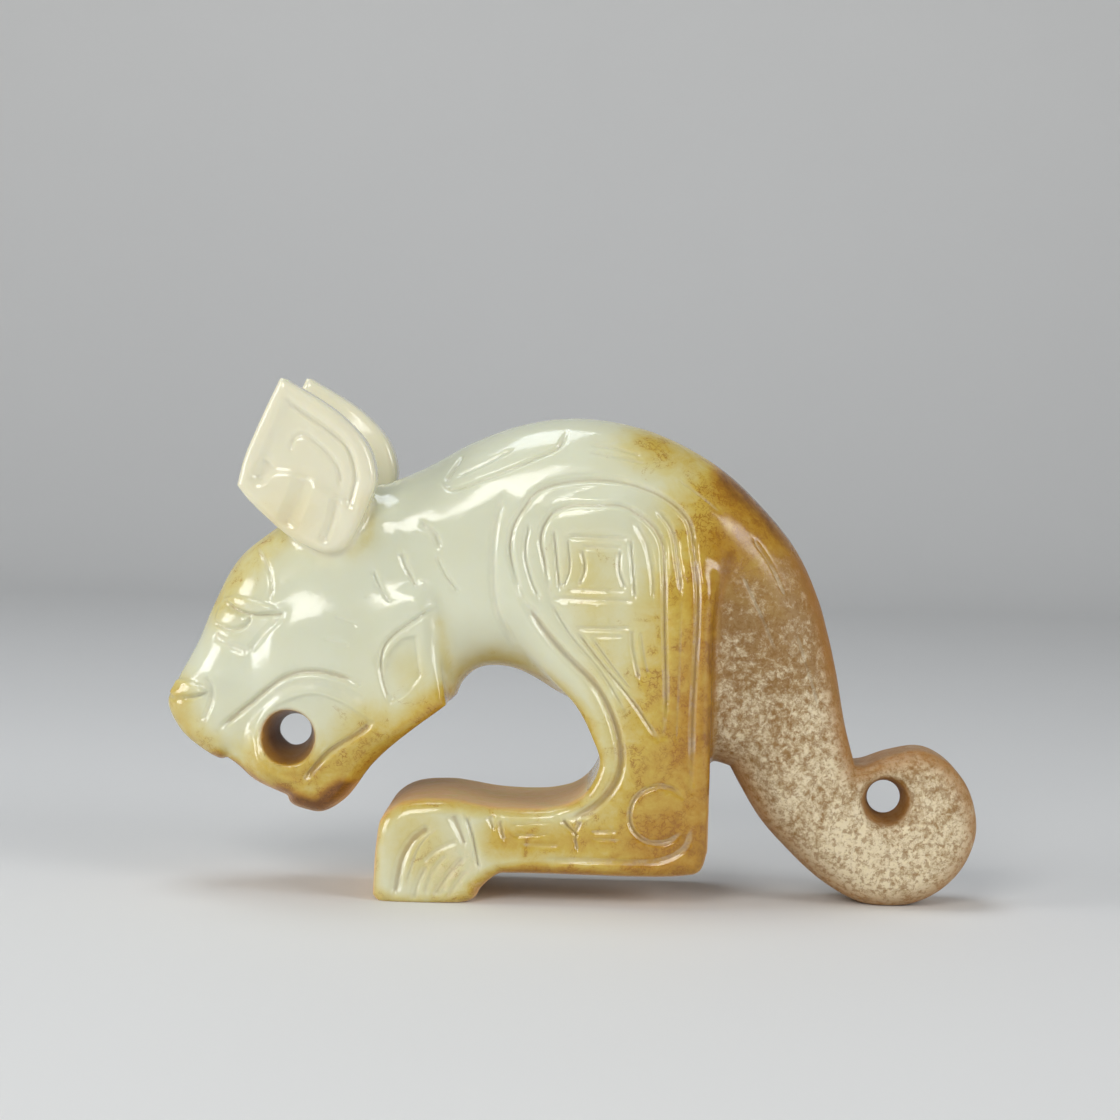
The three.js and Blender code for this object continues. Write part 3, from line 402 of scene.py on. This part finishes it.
def stone_values():
    """The rough stone, and the same drilled and ground flat below, on a grid of places in millimetres."""
    margin = GRID * 3
    half_length = DRAWN_LENGTH / 2
    ranges = [(-half_length, half_length), (-HALF_GRID_THICKNESS, HALF_GRID_THICKNESS), (0, TOP)]
    x, y, z = (np.arange(start - margin, end + margin, GRID) for start, end in ranges)
    px, pz = np.meshgrid(x, z, indexing="ij")
    across = y.astype(np.float32)
    rough = fillet(form(BODY_OUTLINE, BODY_SECTIONS, px, pz, across),
                   form(HEAD_OUTLINE, HEAD_SECTIONS, px, pz, across), HEAD_FILLET)
    rough = fillet(rough, form(LEG_OUTLINE, LEG_SECTIONS, px, pz, across), LEG_FILLET)
    near, far = across[across <= 0], across[across > 0]
    ear = np.concatenate([form(EAR_OUTLINE, EAR_SECTIONS, px, pz, near),
                          form(EAR_OUTLINE, EAR_SECTIONS, px - FAR_EAR_BACK, pz, far)], axis=1)
    rough = fillet(rough, ear, EAR_FILLET)
    cut = rough
    for bore in (MOUTH_BORE, TAIL_BORE):
        cut = -fillet(-cut, cord_bore(bore, px, pz, across), bore["wear"])
    cut = np.maximum(cut, -pz.astype(np.float32)[:, None, :])
    return (x[0], y[0], z[0]), rough, ear, cut


CORNERS = list(product((0, 1), repeat=3))  # of a cell of the grid


def at_corner(values, corner):
    """The values at one corner of every cell."""
    return values[tuple(slice(step, size - 1 + step) for step, size in zip(corner, values.shape))]


def surface(origin, values):
    """The surface where the values are zero, with one point in each cell that it crosses, as quads."""
    inside = values < 0
    count = sum(at_corner(inside, corner).astype(np.int8) for corner in CORNERS)
    cells = np.argwhere((count > 0) & (count < len(CORNERS)))
    held = {corner: values[tuple((cells + corner).T)] for corner in CORNERS}
    total = np.zeros(cells.shape)
    crossings = np.zeros(len(cells))
    for first in CORNERS:
        for axis in range(3):
            if first[axis]:
                continue
            second = tuple(c + (i == axis) for i, c in enumerate(first))
            crossed = (held[first] < 0) != (held[second] < 0)
            a, b = held[first][crossed], held[second][crossed]
            place = np.tile(np.array(first, float), (len(a), 1))
            place[:, axis] += a / (a - b)
            total[crossed] += place
            crossings[crossed] += 1
    points = np.array(origin) + GRID * (cells + total / crossings[:, None])
    number = np.full(count.shape, -1, np.int32)
    number[tuple(cells.T)] = np.arange(len(cells))
    quads = []
    step = np.eye(3, dtype=int)
    for axis in range(3):
        u, v = (axis + 1) % 3, (axis + 2) % 3
        here = np.argwhere(np.diff(inside, axis=axis))
        here = here[(here[:, u] > 0) & (here[:, v] > 0)
                    & (here[:, u] < number.shape[u]) & (here[:, v] < number.shape[v])]
        ring = np.stack([number[tuple((here - move).T)]
                         for move in (step[u] + step[v], step[v], 0 * step[u], step[u])], axis=1)
        outward = inside[tuple(here.T)]
        quads.append(np.where(outward[:, None], ring, ring[:, ::-1]))
    return points, np.vstack(quads)


# The relief: maps of how deep the stone is cut, seen from the side
def groove_profile(t):
    """A hand-ground line: a hollow with a sharp floor. t is 0 on the line and 1 at its edge."""
    return 0.4 * np.clip(1 - t * t, 0, 1) ** 2 + 0.6 * np.clip(1 - t, 0, 1)


RELIEF_SIZE = (DRAWN_LENGTH + 2, 44)
LINE_END = 0.1  # the share of a line over which each of its ends rises
LINE_END_DEPTH = 0.2  # how deep its very end still is


def relief_map(lines, areas):
    """Where the map starts, how deep it is cut in all, and how deep by the lines alone."""
    start = np.array([-DRAWN_LENGTH / 2 - 1, -1])
    shape = [int(size / RELIEF_PIXEL) for size in RELIEF_SIZE]
    cut = np.zeros(shape)
    lines_only = np.zeros(shape)

    def window(line, reach):
        first = np.maximum(((line.min(axis=0) - reach - start) / RELIEF_PIXEL).astype(int), 0)
        last = np.minimum(((line.max(axis=0) + reach - start) / RELIEF_PIXEL).astype(int) + 1, shape)
        part = tuple(slice(a, b) for a, b in zip(first, last))
        x, z = (start[i] + RELIEF_PIXEL * np.arange(first[i], last[i]) for i in (0, 1))
        return part, *np.meshgrid(x, z, indexing="ij")

    for points, width, depth, *narrowing in lines:
        line = spline(points)
        part, x, z = window(line, width)
        away, along = line_distance(line, x, z)
        ends = smooth_step(0, LINE_END, along) * smooth_step(1, 1 - LINE_END, along)
        ends = ends * (1 - LINE_END_DEPTH) + LINE_END_DEPTH
        half_width = width / 2 * (1 - (narrowing[0] if narrowing else 0) * along)
        lines_only[part] = np.maximum(lines_only[part], depth * ends * groove_profile(away / half_width))
    for runs, depth, slope in areas:
        line = closed_line(runs)
        part, x, z = window(line, slope)
        cut[part] += depth * smooth_step(slope / 2, -slope / 2, signed_distance(line, x, z))
    return start, cut + lines_only, lines_only


ONE_IN = 1.001  # keeps the next place of a map or grid inside it


def look_up(start, values, x, z):
    """Values of a map at places between its pixels."""
    place = (np.stack([x, z], axis=1) - start) / RELIEF_PIXEL
    place = np.clip(place, 0, np.array(values.shape) - ONE_IN)
    low = place.astype(int)
    t = place - low
    i, k = low.T
    a, b = t.T
    return ((values[i, k] * (1 - a) + values[i + 1, k] * a) * (1 - b)
            + (values[i, k + 1] * (1 - a) + values[i + 1, k + 1] * a) * b)


def sample(origin, values, points):
    """Values of a grid at points inside it."""
    place = (points - np.array(origin)) / GRID
    place = np.clip(place, 0, np.array(values.shape) - ONE_IN)
    low = place.astype(int)
    t = place - low
    total = 0
    for corner in CORNERS:
        weight = np.prod(np.where(corner, t, 1 - t), axis=1)
        total = total + weight * values[tuple((low + corner).T)]
    return total


def point_normals(points, quads):
    """The directions in which the surface faces at its points."""
    across = np.cross(points[quads[:, 2]] - points[quads[:, 0]], points[quads[:, 3]] - points[quads[:, 1]])
    normals = np.zeros(points.shape)
    for corner in range(4):
        np.add.at(normals, quads[:, corner], across)
    return normals / np.linalg.norm(normals, axis=1)[:, None]


WAVE_LAYERS = 3
WAVES_IN_LAYER = 6


def waves(points, size, seed):
    """Smooth seeded unevenness between about -1 and 1, its swells the given size across."""
    rng = np.random.default_rng(seed)
    total = np.zeros(len(points))
    for layer in range(WAVE_LAYERS):
        for _ in range(WAVES_IN_LAYER):
            direction = rng.normal(size=3)
            direction *= 2 * math.pi / (size * np.linalg.norm(direction)) * (1 + layer)
            total += np.sin(points @ direction + rng.uniform(0, 2 * math.pi)) / (1 + layer)
    return total / WAVES_IN_LAYER


CARVED_FACING = (0.25, 0.6)  # how far a face is turned to the side where the carving begins and is whole
GROUND_AWAY = 0.012  # by polishing, everywhere
SWELLS = [(0.02, 7, 3), (0.008, 1.6, 5)]  # of the ground surface: (height, size, seed)
EVEN_BELOW = (0.4, 1.2)  # no swells on the underside, so that it stands
EAR_LINES_DIRT_AND_HIGHLIGHT = 0.5  # the ears' lines hold less dirt and get less painted highlight


def carve(points, normals, origin, rough, ear):
    """Moves the surface in by what is carved away.

    Gives the new points, how deep the lines are cut, where the ears are and how much each point faces
    sideways.
    """
    x, y, z = points.T
    near_surface = smooth_step(-EAR_THICKNESS / 2, 0, sample(origin, rough, points))
    side = smooth_step(*CARVED_FACING, normals[:, 1] * np.sign(y)) * near_surface
    on_ear = (z > EAR_BASE) & (np.abs(y) > EAR_MIDDLE) & (sample(origin, ear, points) < EAR_FILLET / 2)
    start, side_cut, side_lines = relief_map(HEAD_LINES + LEG_LINES + BODY_LINES, SIDE_AREAS)
    _, ear_cut, ear_lines = relief_map(EAR_LINES, EAR_AREAS)
    ear_x = x - FAR_EAR_BACK * (y > 0)
    depth = np.where(on_ear, look_up(start, ear_cut, ear_x, z), look_up(start, side_cut, x, z)) * side
    ear_lines = look_up(start, ear_lines, ear_x, z) * EAR_LINES_DIRT_AND_HIGHLIGHT
    lines = np.where(on_ear, ear_lines, look_up(start, side_lines, x, z)) * side
    from_middle = np.abs(x - FOOT_MIDDLE)
    on_paws = smooth_step(PAW_SPLIT_TOP, PAW_SPLIT_TOP - 2, z) * smooth_step(*PAW_SPLIT_PLACES, from_middle)
    on_paws *= from_middle < PAW_SPLIT_PLACES[1]
    between = np.clip(1 - np.abs(y) / (PAW_SPLIT_WIDTH / 2), 0, 1)
    split = PAW_SPLIT_DEPTH * on_paws * between * np.abs(normals[:, 0]) * near_surface
    uneven = sum(height * waves(points, size, seed) for height, size, seed in SWELLS)
    uneven = uneven * near_surface * smooth_step(*EVEN_BELOW, z)
    carved = points - normals * (depth + split + GROUND_AWAY + uneven)[:, None]
    ears = smooth_step(0.8, -0.2, sample(origin, ear, points)) * (z > EAR_BASE - 0.5)
    return carved, lines * (1 - ears) + split, ears, np.abs(normals[:, 1])


# Where the stone is stained ochre, and where shade is painted as stain under the chin, along the step where
# the head stands proud of the neck and on the forehead: (line, reach, strength), strongest on the line
OCHRE_AND_PAINTED_SHADE_LINES = [
    ([(-28.2, 10.4), (-25.4, 8.9), (-22.5, 7.4)], 1.2, 0.75),
    # Under the chin: ochre stain, made stronger as painted shade where the chin faces down
    ([(-22.9, 7.3), (-20.9, 6.5), (-19.4, 6.5), (-17.9, 7.8)], 1.9, 1.15),
    ([(-18, 7.6), (-15.7, 10.4), (-13.1, 12.9), (-9.8, 15.5)], 2.1, 0.58),
    ([(-13, 18.5), (-12, 16.8)], 2.0, 0.2),
    ([(-24.5, 9.6), (-18, 10.4), (-15.6, 12.6)], 3.4, 0.54),
    # Painted shade along the step where the head stands proud of the neck, drawn as stain
    ([(-9.6, 16.5), (-10, 19), (-10.4, 22)], 0.8, 0.24),
    ([(-9.6, 16.4), (-6, 18.3), (-1.1, 16.3), (1.2, 14)], 1.7, 0.46),
    ([(1.2, 14), (2.3, 11.4), (1.6, 9.4)], 1.2, 0.5),
    ([(0.6, 8.4), (-3.2, 7.6), (-6.1, 7.7), (-9.9, 8.2), (-13.1, 7.8)], 1.2, 0.48),
    ([(-13.1, 7.8), (-14.9, 6), (-15.3, 0.4), (-9.3, 0), (-7, 0.8)], 1.3, 0.44),
    ([(-7, 1), (-4.3, 2.4), (9.1, 2.6), (10.6, 3.6)], 1.2, 0.72),
    ([(-5, 5.2), (2, 5.2), (8, 6)], 2.4, 0.57),
    ([(-13, 6), (-10, 2)], 4.5, 0.33),
    ([(1, 27), (2.5, 20), (3, 14)], 3.5, 0.3),
    ([(11.1, 4.6), (11, 15.6), (10.9, 22), (12.2, 28)], 1.2, 0.8),
    ([(9.4, 12), (9.3, 19), (9.2, 26)], 1.7, 0.6),
    ([(11.8, 33.8), (15, 31.2), (17.4, 28.3), (19.3, 24.5), (20.8, 19.2)], 2.4, 0.84),
    ([(6, 36.6), (10, 34.6), (13, 31)], 3.2, 0.48),
    ([(-31.8, 15.6), (-31.2, 12.8), (-29, 11)], 2.2, 0.44),
    # On the forehead: olive stain, strengthened as painted shade
    ([(-28.5, 23), (-26, 27), (-22.5, 30)], 3.0, 0.38),
    ([(-16.6, 31.4), (-16.4, 28.6), (-17.5, 27.4)], 1.0, 0.3),
    ([(-25.6, 30.4), (-22.4, 28), (-19.4, 26.8)], 1.0, 0.2),
]
REAR_OCHRE = 0.7  # how stained the rear half is between the lines
OCHRE_HALO = 0.12  # the share of a line's stain that reaches further out
PALE_CREST = (37.5, 31)  # heights between which the stain fades out towards the crest of the back
CALCIFIED_BELOW = 27
TAIL_FROM = (10.9, 11.7)
RIM_WIDTH = 1.1
FULL_GROOVE = 0.3  # a line this deep is as dirty as any; parts of a line two fifths as deep or more get the whole painted highlight
ABRADED_SPOT = (-8.8, 2.4)


def jade_fields(points, sideways):
    """From 0 to 1 at each point: how stained, calcified, bored and worn the stone is there. The stain also
    holds painted shade under the chin, along the neck's step and on the forehead, and the unpolished mask
    also marks where the tops of the feet are painted lighter as if lit.
    """
    x, _, z = points.T
    ochre_and_painted_shade = REAR_OCHRE * smooth_step(-1.5, 10, x + 0.22 * (18 - z))
    ochre_and_painted_shade *= smooth_step(*PALE_CREST, z - 0.5 * (x - 6))
    ochre_and_painted_shade *= smooth_step(-14, -1, x - z * 0.2)
    for line, reach, strength in OCHRE_AND_PAINTED_SHADE_LINES:
        away, _ = line_distance(spline(line), x, z)
        halo = OCHRE_HALO * strength * np.exp(-away / reach)
        ochre_and_painted_shade = np.maximum(ochre_and_painted_shade, strength * np.exp(-(away / reach) ** 2)) + halo
    wander = 0.9 * waves(points, 5, 11)
    calcified = smooth_step(-1.8, 2.0, (CALCIFIED_BELOW - z) * 0.4 + (x - 15) * 0.1 + wander)
    calcified *= smooth_step(*TAIL_FROM, x)
    tail_rim = np.exp(-(signed_distance(closed_line(BODY_OUTLINE), x, z) / RIM_WIDTH) ** 2)
    tail_rim *= smooth_step(10.5, 12.5, x) * smooth_step(-1, 1, x - z * 0.5)
    bored = 0
    for bore in (MOUTH_BORE, TAIL_BORE):
        away = np.hypot(x - bore["at"][0], z - bore["at"][1])
        bored = np.maximum(bored, smooth_step(0.15, -0.25, away - bore["rim"] / 2))
    return {
        # Unpolished feet, and where their tops are painted lighter as if lit
        "unpolished_and_painted_light": smooth_step(0.75, 0.2, sideways) * smooth_step(9.5, 8.6, z) * (x < 11),
        "ochre_and_painted_shade": np.clip(ochre_and_painted_shade, 0, 1.1),
        "calcified": calcified,
        "tail_rim": tail_rim,
        "chalk": 0.22 + 0.45 * smooth_step(24, 12, z) + 0.31 * smooth_step(12, 4, z),
        "abraded": np.exp(-(((x - ABRADED_SPOT[0]) / 2) ** 2 + ((z - ABRADED_SPOT[1]) / 1.8) ** 2)),
        "bored": bored,
    }


def fine_mesh(points, quads, fields):
    """The mesh in metres, with each field as an attribute of its points."""
    mesh = bpy.data.meshes.new("jade_carving")
    mesh.vertices.add(len(points))
    mesh.vertices.foreach_set("co", (points * SHARE * MM).ravel())
    mesh.loops.add(quads.size)
    mesh.loops.foreach_set("vertex_index", quads.ravel())
    mesh.polygons.add(len(quads))
    mesh.polygons.foreach_set("loop_start", np.arange(0, quads.size, 4))
    mesh.update(calc_edges=True)
    for name, values in fields.items():
        attribute = mesh.attributes.new(name, "FLOAT", "POINT")
        attribute.data.foreach_set("value", values.astype(np.float32))
    return mesh


def thin(carving):
    """Thins the carving's mesh to its number of triangles."""
    fine = carving.data
    thinning = carving.modifiers.new("thin", "DECIMATE")
    thinning.ratio = min(1, MOST_TRIANGLES / (2 * len(fine.polygons)))
    thinned = carving.evaluated_get(bpy.context.evaluated_depsgraph_get())
    carving.data = bpy.data.meshes.new_from_object(thinned)
    carving.modifiers.clear()
    bpy.data.meshes.remove(fine)
    carving.data.name = "jade_carving"


def build_carving():
    origin, rough, ear, cut = stone_values()
    points, quads = surface(origin, cut)
    points, lines, ears, sideways = carve(points, point_normals(points, quads), origin, rough, ear)
    fields = {"groove": np.clip(lines / FULL_GROOVE, 0, 1), "ear": ears, **jade_fields(points, sideways)}
    points = np.clip(points, *np.array([low_corner, high_corner]) / MM / SHARE)
    carving = bpy.data.objects.new("jade_carving", fine_mesh(points, quads, fields))
    bpy.context.collection.objects.link(carving)
    thin(carving)
    carving.data.shade_smooth()
    carving.data.materials.append(jade_material(fields))
    return carving


# Nodes
class Nodes:
    """A short way to build a material's nodes."""

    def __init__(self, name):
        self.material = bpy.data.materials.new(name)
        self.material.use_nodes = True
        self.tree = self.material.node_tree
        self.shader = self.tree.nodes["Principled BSDF"]

    def add(self, kind, inputs=None, **settings):
        node = self.tree.nodes.new("ShaderNode" + kind)
        for key, value in settings.items():
            setattr(node, key, value)
        for key, value in (inputs or {}).items():
            self.set(node.inputs[key], value)
        return node

    def set(self, socket, value):
        if isinstance(value, bpy.types.NodeSocket):
            self.tree.links.new(value, socket)
        elif isinstance(value, bpy.types.Node):
            self.tree.links.new(value.outputs[0], socket)
        elif isinstance(value, tuple) and len(value) == 3 and socket.type == "RGBA":
            socket.default_value = (*value, 1)
        else:
            socket.default_value = value

    def field(self, name):
        return self.add("Attribute", attribute_name=name).outputs["Fac"]

    def maths(self, operation, first, second=0.0):
        return self.add("Math", {0: first, 1: second}, operation=operation).outputs[0]

    def total(self, *values):
        return reduce(lambda first, second: self.maths("ADD", first, second), values)

    def product(self, *values):
        return reduce(lambda first, second: self.maths("MULTIPLY", first, second), values)

    def greatest(self, *values):
        return reduce(lambda first, second: self.maths("MAXIMUM", first, second), values)

    def swing(self, noise, amount):
        """A noise, which lies round a half, as up to half the amount more or less."""
        return self.product(self.maths("SUBTRACT", noise, 0.5), amount)

    def noise(self, place, scale, detail, roughness, distortion=0.0):
        settings = {"Vector": place, "Scale": scale, "Detail": detail, "Roughness": roughness,
                    "Distortion": distortion}
        return self.add("TexNoise", settings).outputs["Fac"]

    def band(self, value, start, end, low=0.0, high=1.0):
        settings = {"Value": value, "From Min": start, "From Max": end, "To Min": low, "To Max": high}
        return self.add("MapRange", settings, interpolation_type="SMOOTHSTEP").outputs[0]

    def ramp(self, value, colours):
        node = self.add("ValToRGB", {"Fac": value})
        stops = node.color_ramp.elements
        while len(stops) < len(colours):
            stops.new(1)
        for stop, (place, colour) in zip(stops, colours):
            stop.position = place
            stop.color = (*colour, 1)
        return node.outputs["Color"]

    def mix(self, amount, first, second):
        node = self.add("Mix", data_type="RGBA")
        self.set(node.inputs["Factor"], amount)
        self.set(node.inputs["A"], first)
        self.set(node.inputs["B"], second)
        return node.outputs["Result"]


# Colours of the stone: (how stained, colour)
JADE_COLOURS = [
    (0.0, (0.67, 0.685, 0.53)),
    (0.2, (0.66, 0.65, 0.45)),
    (0.38, (0.62, 0.55, 0.25)),
    (0.58, (0.56, 0.40, 0.07)),
    (0.8, (0.43, 0.22, 0.015)),
    (1.0, (0.17, 0.06, 0.004)),
]
CREAM = (0.77, 0.67, 0.47)
TAN = (0.33, 0.20, 0.08)
FLECK = (0.25, 0.125, 0.035)
TAIL_EDGE = (0.36, 0.15, 0.02)
RUSSET = (0.28, 0.105, 0.008)
# Painted highlight: the lines are lightened as if their banks caught the lights
PAINTED_BANK_HIGHLIGHT = (0.84, 0.80, 0.62)
GRIME = (0.36, 0.19, 0.04)
BORE_WALL = (0.33, 0.14, 0.015)
# The tops of the feet: their pinkish-brown stone, lightened as painted light on these upturned faces
FOOT_TOP_PAINTED_LIGHT = (0.72, 0.44, 0.22)
# The ears: paler stone, partly painted light for the key light their upturned faces catch
EAR_WHITE_AND_PAINTED_LIGHT = (0.83, 0.775, 0.59)
PER_MM = 1 / MM

# Noises in the stone: (scale per millimetre, detail, roughness, distortion)
JADE_NOISES = {
    "cloud": (0.14, 4, 0.6, 0.5),
    "blotch": (0.42, 5, 0.65, 0.8),
    "grain": (1.3, 4, 0.7),
    "worms": (2.1, 4, 0.62, 0.5),
    "mottle": (1.6, 6, 0.8, 0.4),
    "fine_mottle": (2.2, 4, 0.75, 0.3),
    "scratches": (2.4, 3, 0.7),
}


def jade_colour(n, noises, fields):
    """Jade by its stain and the shade painted into it, with rusty worm-like lines and ears whitened partly
    as painted light. Gives the colour and the stain with its painted shade.
    """
    ochre_and_painted_shade, blotch = fields["ochre_and_painted_shade"], noises["blotch"]
    uneven = n.swing(blotch, n.band(ochre_and_painted_shade, 0.1, 0.6, 0.1, 0.4))
    fine = n.swing(noises["grain"], n.band(ochre_and_painted_shade, 0.2, 0.7, 0.04, 0.26))
    # The stain includes the painted shade under the chin, along the neck's step and on the forehead
    stained = n.total(ochre_and_painted_shade, n.swing(noises["cloud"], 0.28), uneven, fine)
    off_line = n.maths("ABSOLUTE", n.maths("SUBTRACT", noises["worms"], 0.5))
    clusters = n.total(ochre_and_painted_shade, n.swing(blotch, 3.0))
    rusty = n.product(n.band(off_line, 0.05, 0.01), n.band(clusters, 0.52, 1.0), 0.7)
    jade = n.mix(rusty, n.ramp(stained, JADE_COLOURS), RUSSET)
    # Ears whitened, partly as painted light
    return n.mix(n.product(fields["ear"], 0.7), jade, EAR_WHITE_AND_PAINTED_LIGHT), stained


def calcified_colour(n, noises, fields, flecks):
    """Cream and tan mottling with dark flecks, brown at the tail's edge and towards the rump."""
    mottle = noises["mottle"]
    whiter = n.total(fields["chalk"], n.swing(noises["blotch"], 1.6), n.swing(mottle, 3.4))
    bone = n.mix(n.band(whiter, 0.1, 1.2), TAN, CREAM)
    bone = n.mix(n.product(flecks, 0.6), bone, FLECK)
    bone = n.mix(n.product(fields["tail_rim"], n.band(mottle, 0.35, 0.6, 0.35, 0.9)), bone, TAIL_EDGE)
    return n.mix(n.band(fields["ochre_and_painted_shade"], 0.72, 0.95, 0.0, 0.5), bone, TAIL_EDGE)


def jade_material(field_names):
    n = Nodes("jade")
    place = n.add("TexCoord").outputs["Object"]
    fields = {name: n.field(name) for name in field_names}
    noises = {name: n.noise(place, scale * PER_MM, *rest) for name, (scale, *rest) in JADE_NOISES.items()}
    groove, bored, blotch, grain = fields["groove"], fields["bored"], noises["blotch"], noises["grain"]
    flecks = n.band(noises["fine_mottle"], 0.48, 0.6)

    jade, stained = jade_colour(n, noises, fields)
    body = n.mix(fields["calcified"], jade, calcified_colour(n, noises, fields, flecks))
    for amount, share, colour in (
        # Painted light on the tops of the feet, which are also dull
        (fields["unpolished_and_painted_light"], n.band(blotch, 0.3, 0.6, 0.35, 0.8), FOOT_TOP_PAINTED_LIGHT),
        # Painted highlight along the lines
        (n.band(groove, 0.05, 0.4), n.band(blotch, 0.4, 0.6, 0.05, 0.26), PAINTED_BANK_HIGHLIGHT),
        (n.band(groove, 0.65, 1.0), n.band(stained, 0.1, 0.7, 0.22, 0.55), GRIME),
        (bored, 0.9, BORE_WALL),
        (fields["abraded"], n.band(grain, 0.45, 0.6, 0.0, 0.45), CREAM),
    ):
        body = n.mix(n.product(amount, share), body, colour)

    dull = n.greatest(fields["calcified"], fields["abraded"], fields["unpolished_and_painted_light"])
    polish = n.band(grain, 0.3, 0.75, 0.10, 0.21)
    pitting = n.product(flecks, fields["calcified"], 0.6)
    height = n.maths("SUBTRACT", n.product(noises["scratches"], 0.3), pitting)
    height = n.total(height, n.product(grain, dull, 1.2))

    n.shader.subsurface_method = "RANDOM_WALK"
    for socket, value in {
        "Base Color": body,
        "Specular IOR Level": n.band(n.greatest(dull, bored), 0.0, 1.0, 0.5, 0.14),
        "Roughness": n.total(polish, n.product(dull, 0.28), n.product(bored, 0.2)),
        "Normal": n.add("Bump", {"Height": height, "Strength": 0.3, "Distance": 0.06 * MM}),
        "IOR": 1.61,
        "Subsurface Weight": 0.4,
        "Subsurface Radius": (1.0, 0.85, 0.5),
        "Subsurface Scale": 0.7 * MM,
    }.items():
        n.set(n.shader.inputs[socket], value)
    return n.material


FLOOR_COLOURS = (0.76, 0.76, 0.75), (0.80, 0.80, 0.79)


def floor_material():
    n = Nodes("floor")
    place = n.add("TexCoord").outputs["Object"]
    n.set(n.shader.inputs["Base Color"], n.mix(n.noise(place, 12, 3, 0.5), *FLOOR_COLOURS))
    n.shader.inputs["Roughness"].default_value = 0.7
    return n.material


# The studio, in metres: a pale floor that curves up behind, soft lights and the camera
FLOOR_FRONT = -1.2
FLOOR_BACK = 0.30  # where the floor begins to curve up
FLOOR_BEND = 0.12
FLOOR_HEIGHT = 0.60
FLOOR_HALF_WIDTH = 1.2
BEND_STEPS = 12


def make_floor():
    profile = [(FLOOR_FRONT, 0.0)]
    for i in range(BEND_STEPS + 1):
        angle = math.pi / 2 * i / BEND_STEPS
        profile.append((FLOOR_BACK + FLOOR_BEND * math.sin(angle), FLOOR_BEND * (1 - math.cos(angle))))
    profile.append((FLOOR_BACK + FLOOR_BEND, FLOOR_HEIGHT))
    points = [(side * FLOOR_HALF_WIDTH, y, z) for y, z in profile for side in (-1, 1)]
    faces = [(2 * i, 2 * i + 1, 2 * i + 3, 2 * i + 2) for i in range(len(profile) - 1)]
    mesh = bpy.data.meshes.new("floor")
    mesh.from_pydata(points, [], faces)
    mesh.shade_smooth()
    floor = bpy.data.objects.new("floor", mesh)
    floor.data.materials.append(floor_material())
    bpy.context.collection.objects.link(floor)


LIT_PLACE = Vector((0, 0, 0.02))
# Area lights: (name, place, size, watts, colour)
LIGHTS = [
    ("softbox_left", (-0.11, -0.33, 0.21), (0.16, 0.16), 0.56, (1, 0.985, 0.95)),
    ("softbox_above", (-0.07, 0.03, 0.36), (0.18, 0.14), 0.38, (0.86, 0.92, 1)),
    ("strip_left", (-0.37, -0.12, 0.07), (0.16, 0.26), 0.85, (1, 1, 1)),
    ("strip_right", (0.33, -0.20, 0.15), (0.16, 0.24), 0.66, (1, 1, 1)),
]
SKY_COLOUR = (0.93, 0.96, 1, 1)
SKY_STRENGTH = 0.15


def make_lights():
    for name, place, size, power, colour in LIGHTS:
        data = bpy.data.lights.new(name, "AREA")
        data.shape = "RECTANGLE"
        data.size, data.size_y = size
        data.energy = power
        data.color = colour
        light = bpy.data.objects.new(name, data)
        light.location = place
        light.rotation_euler = (LIT_PLACE - Vector(place)).to_track_quat("-Z", "Y").to_euler()
        bpy.context.collection.objects.link(light)
    world = bpy.data.worlds.new("studio")
    world.use_nodes = True
    background = world.node_tree.nodes["Background"]
    background.inputs["Color"].default_value = SKY_COLOUR
    background.inputs["Strength"].default_value = SKY_STRENGTH
    bpy.context.scene.world = world
    bpy.context.scene.view_settings.view_transform = "Standard"


# The camera stands 230 mm from the carving's middle plane and a little above it
CAMERA_AT = Vector((5.52, -230.0, 41.07))  # millimetres, by a carving of the drawn length
PHOTO_SIZE = 1120  # pixels
FOCAL_PIXELS = 2875
SENSOR_WIDTH = 36.0  # millimetres
VANISHING_POINT = (90, 176)  # of lines straight into the picture, right of and above its middle, in pixels
ROLL = math.radians(1.4)


def make_camera():
    data = bpy.data.cameras.new("camera")
    data.sensor_width = SENSOR_WIDTH
    data.lens = SENSOR_WIDTH * FOCAL_PIXELS / PHOTO_SIZE
    data.clip_start = 0.01
    camera = bpy.data.objects.new("camera", data)
    into = Vector((*VANISHING_POINT, -FOCAL_PIXELS)).normalized()
    right = Vector((math.cos(ROLL), -math.sin(ROLL), 0))
    right = (right - into * right.dot(into)).normalized()
    turn = Matrix((right, into, right.cross(into)))
    camera.matrix_world = Matrix.Translation(CAMERA_AT * MM * SHARE) @ turn.to_4x4()
    bpy.context.collection.objects.link(camera)
    bpy.context.scene.camera = camera


make_camera()
make_floor()
make_lights()
carving = build_carving()
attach(carving, "root")
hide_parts(NODE)
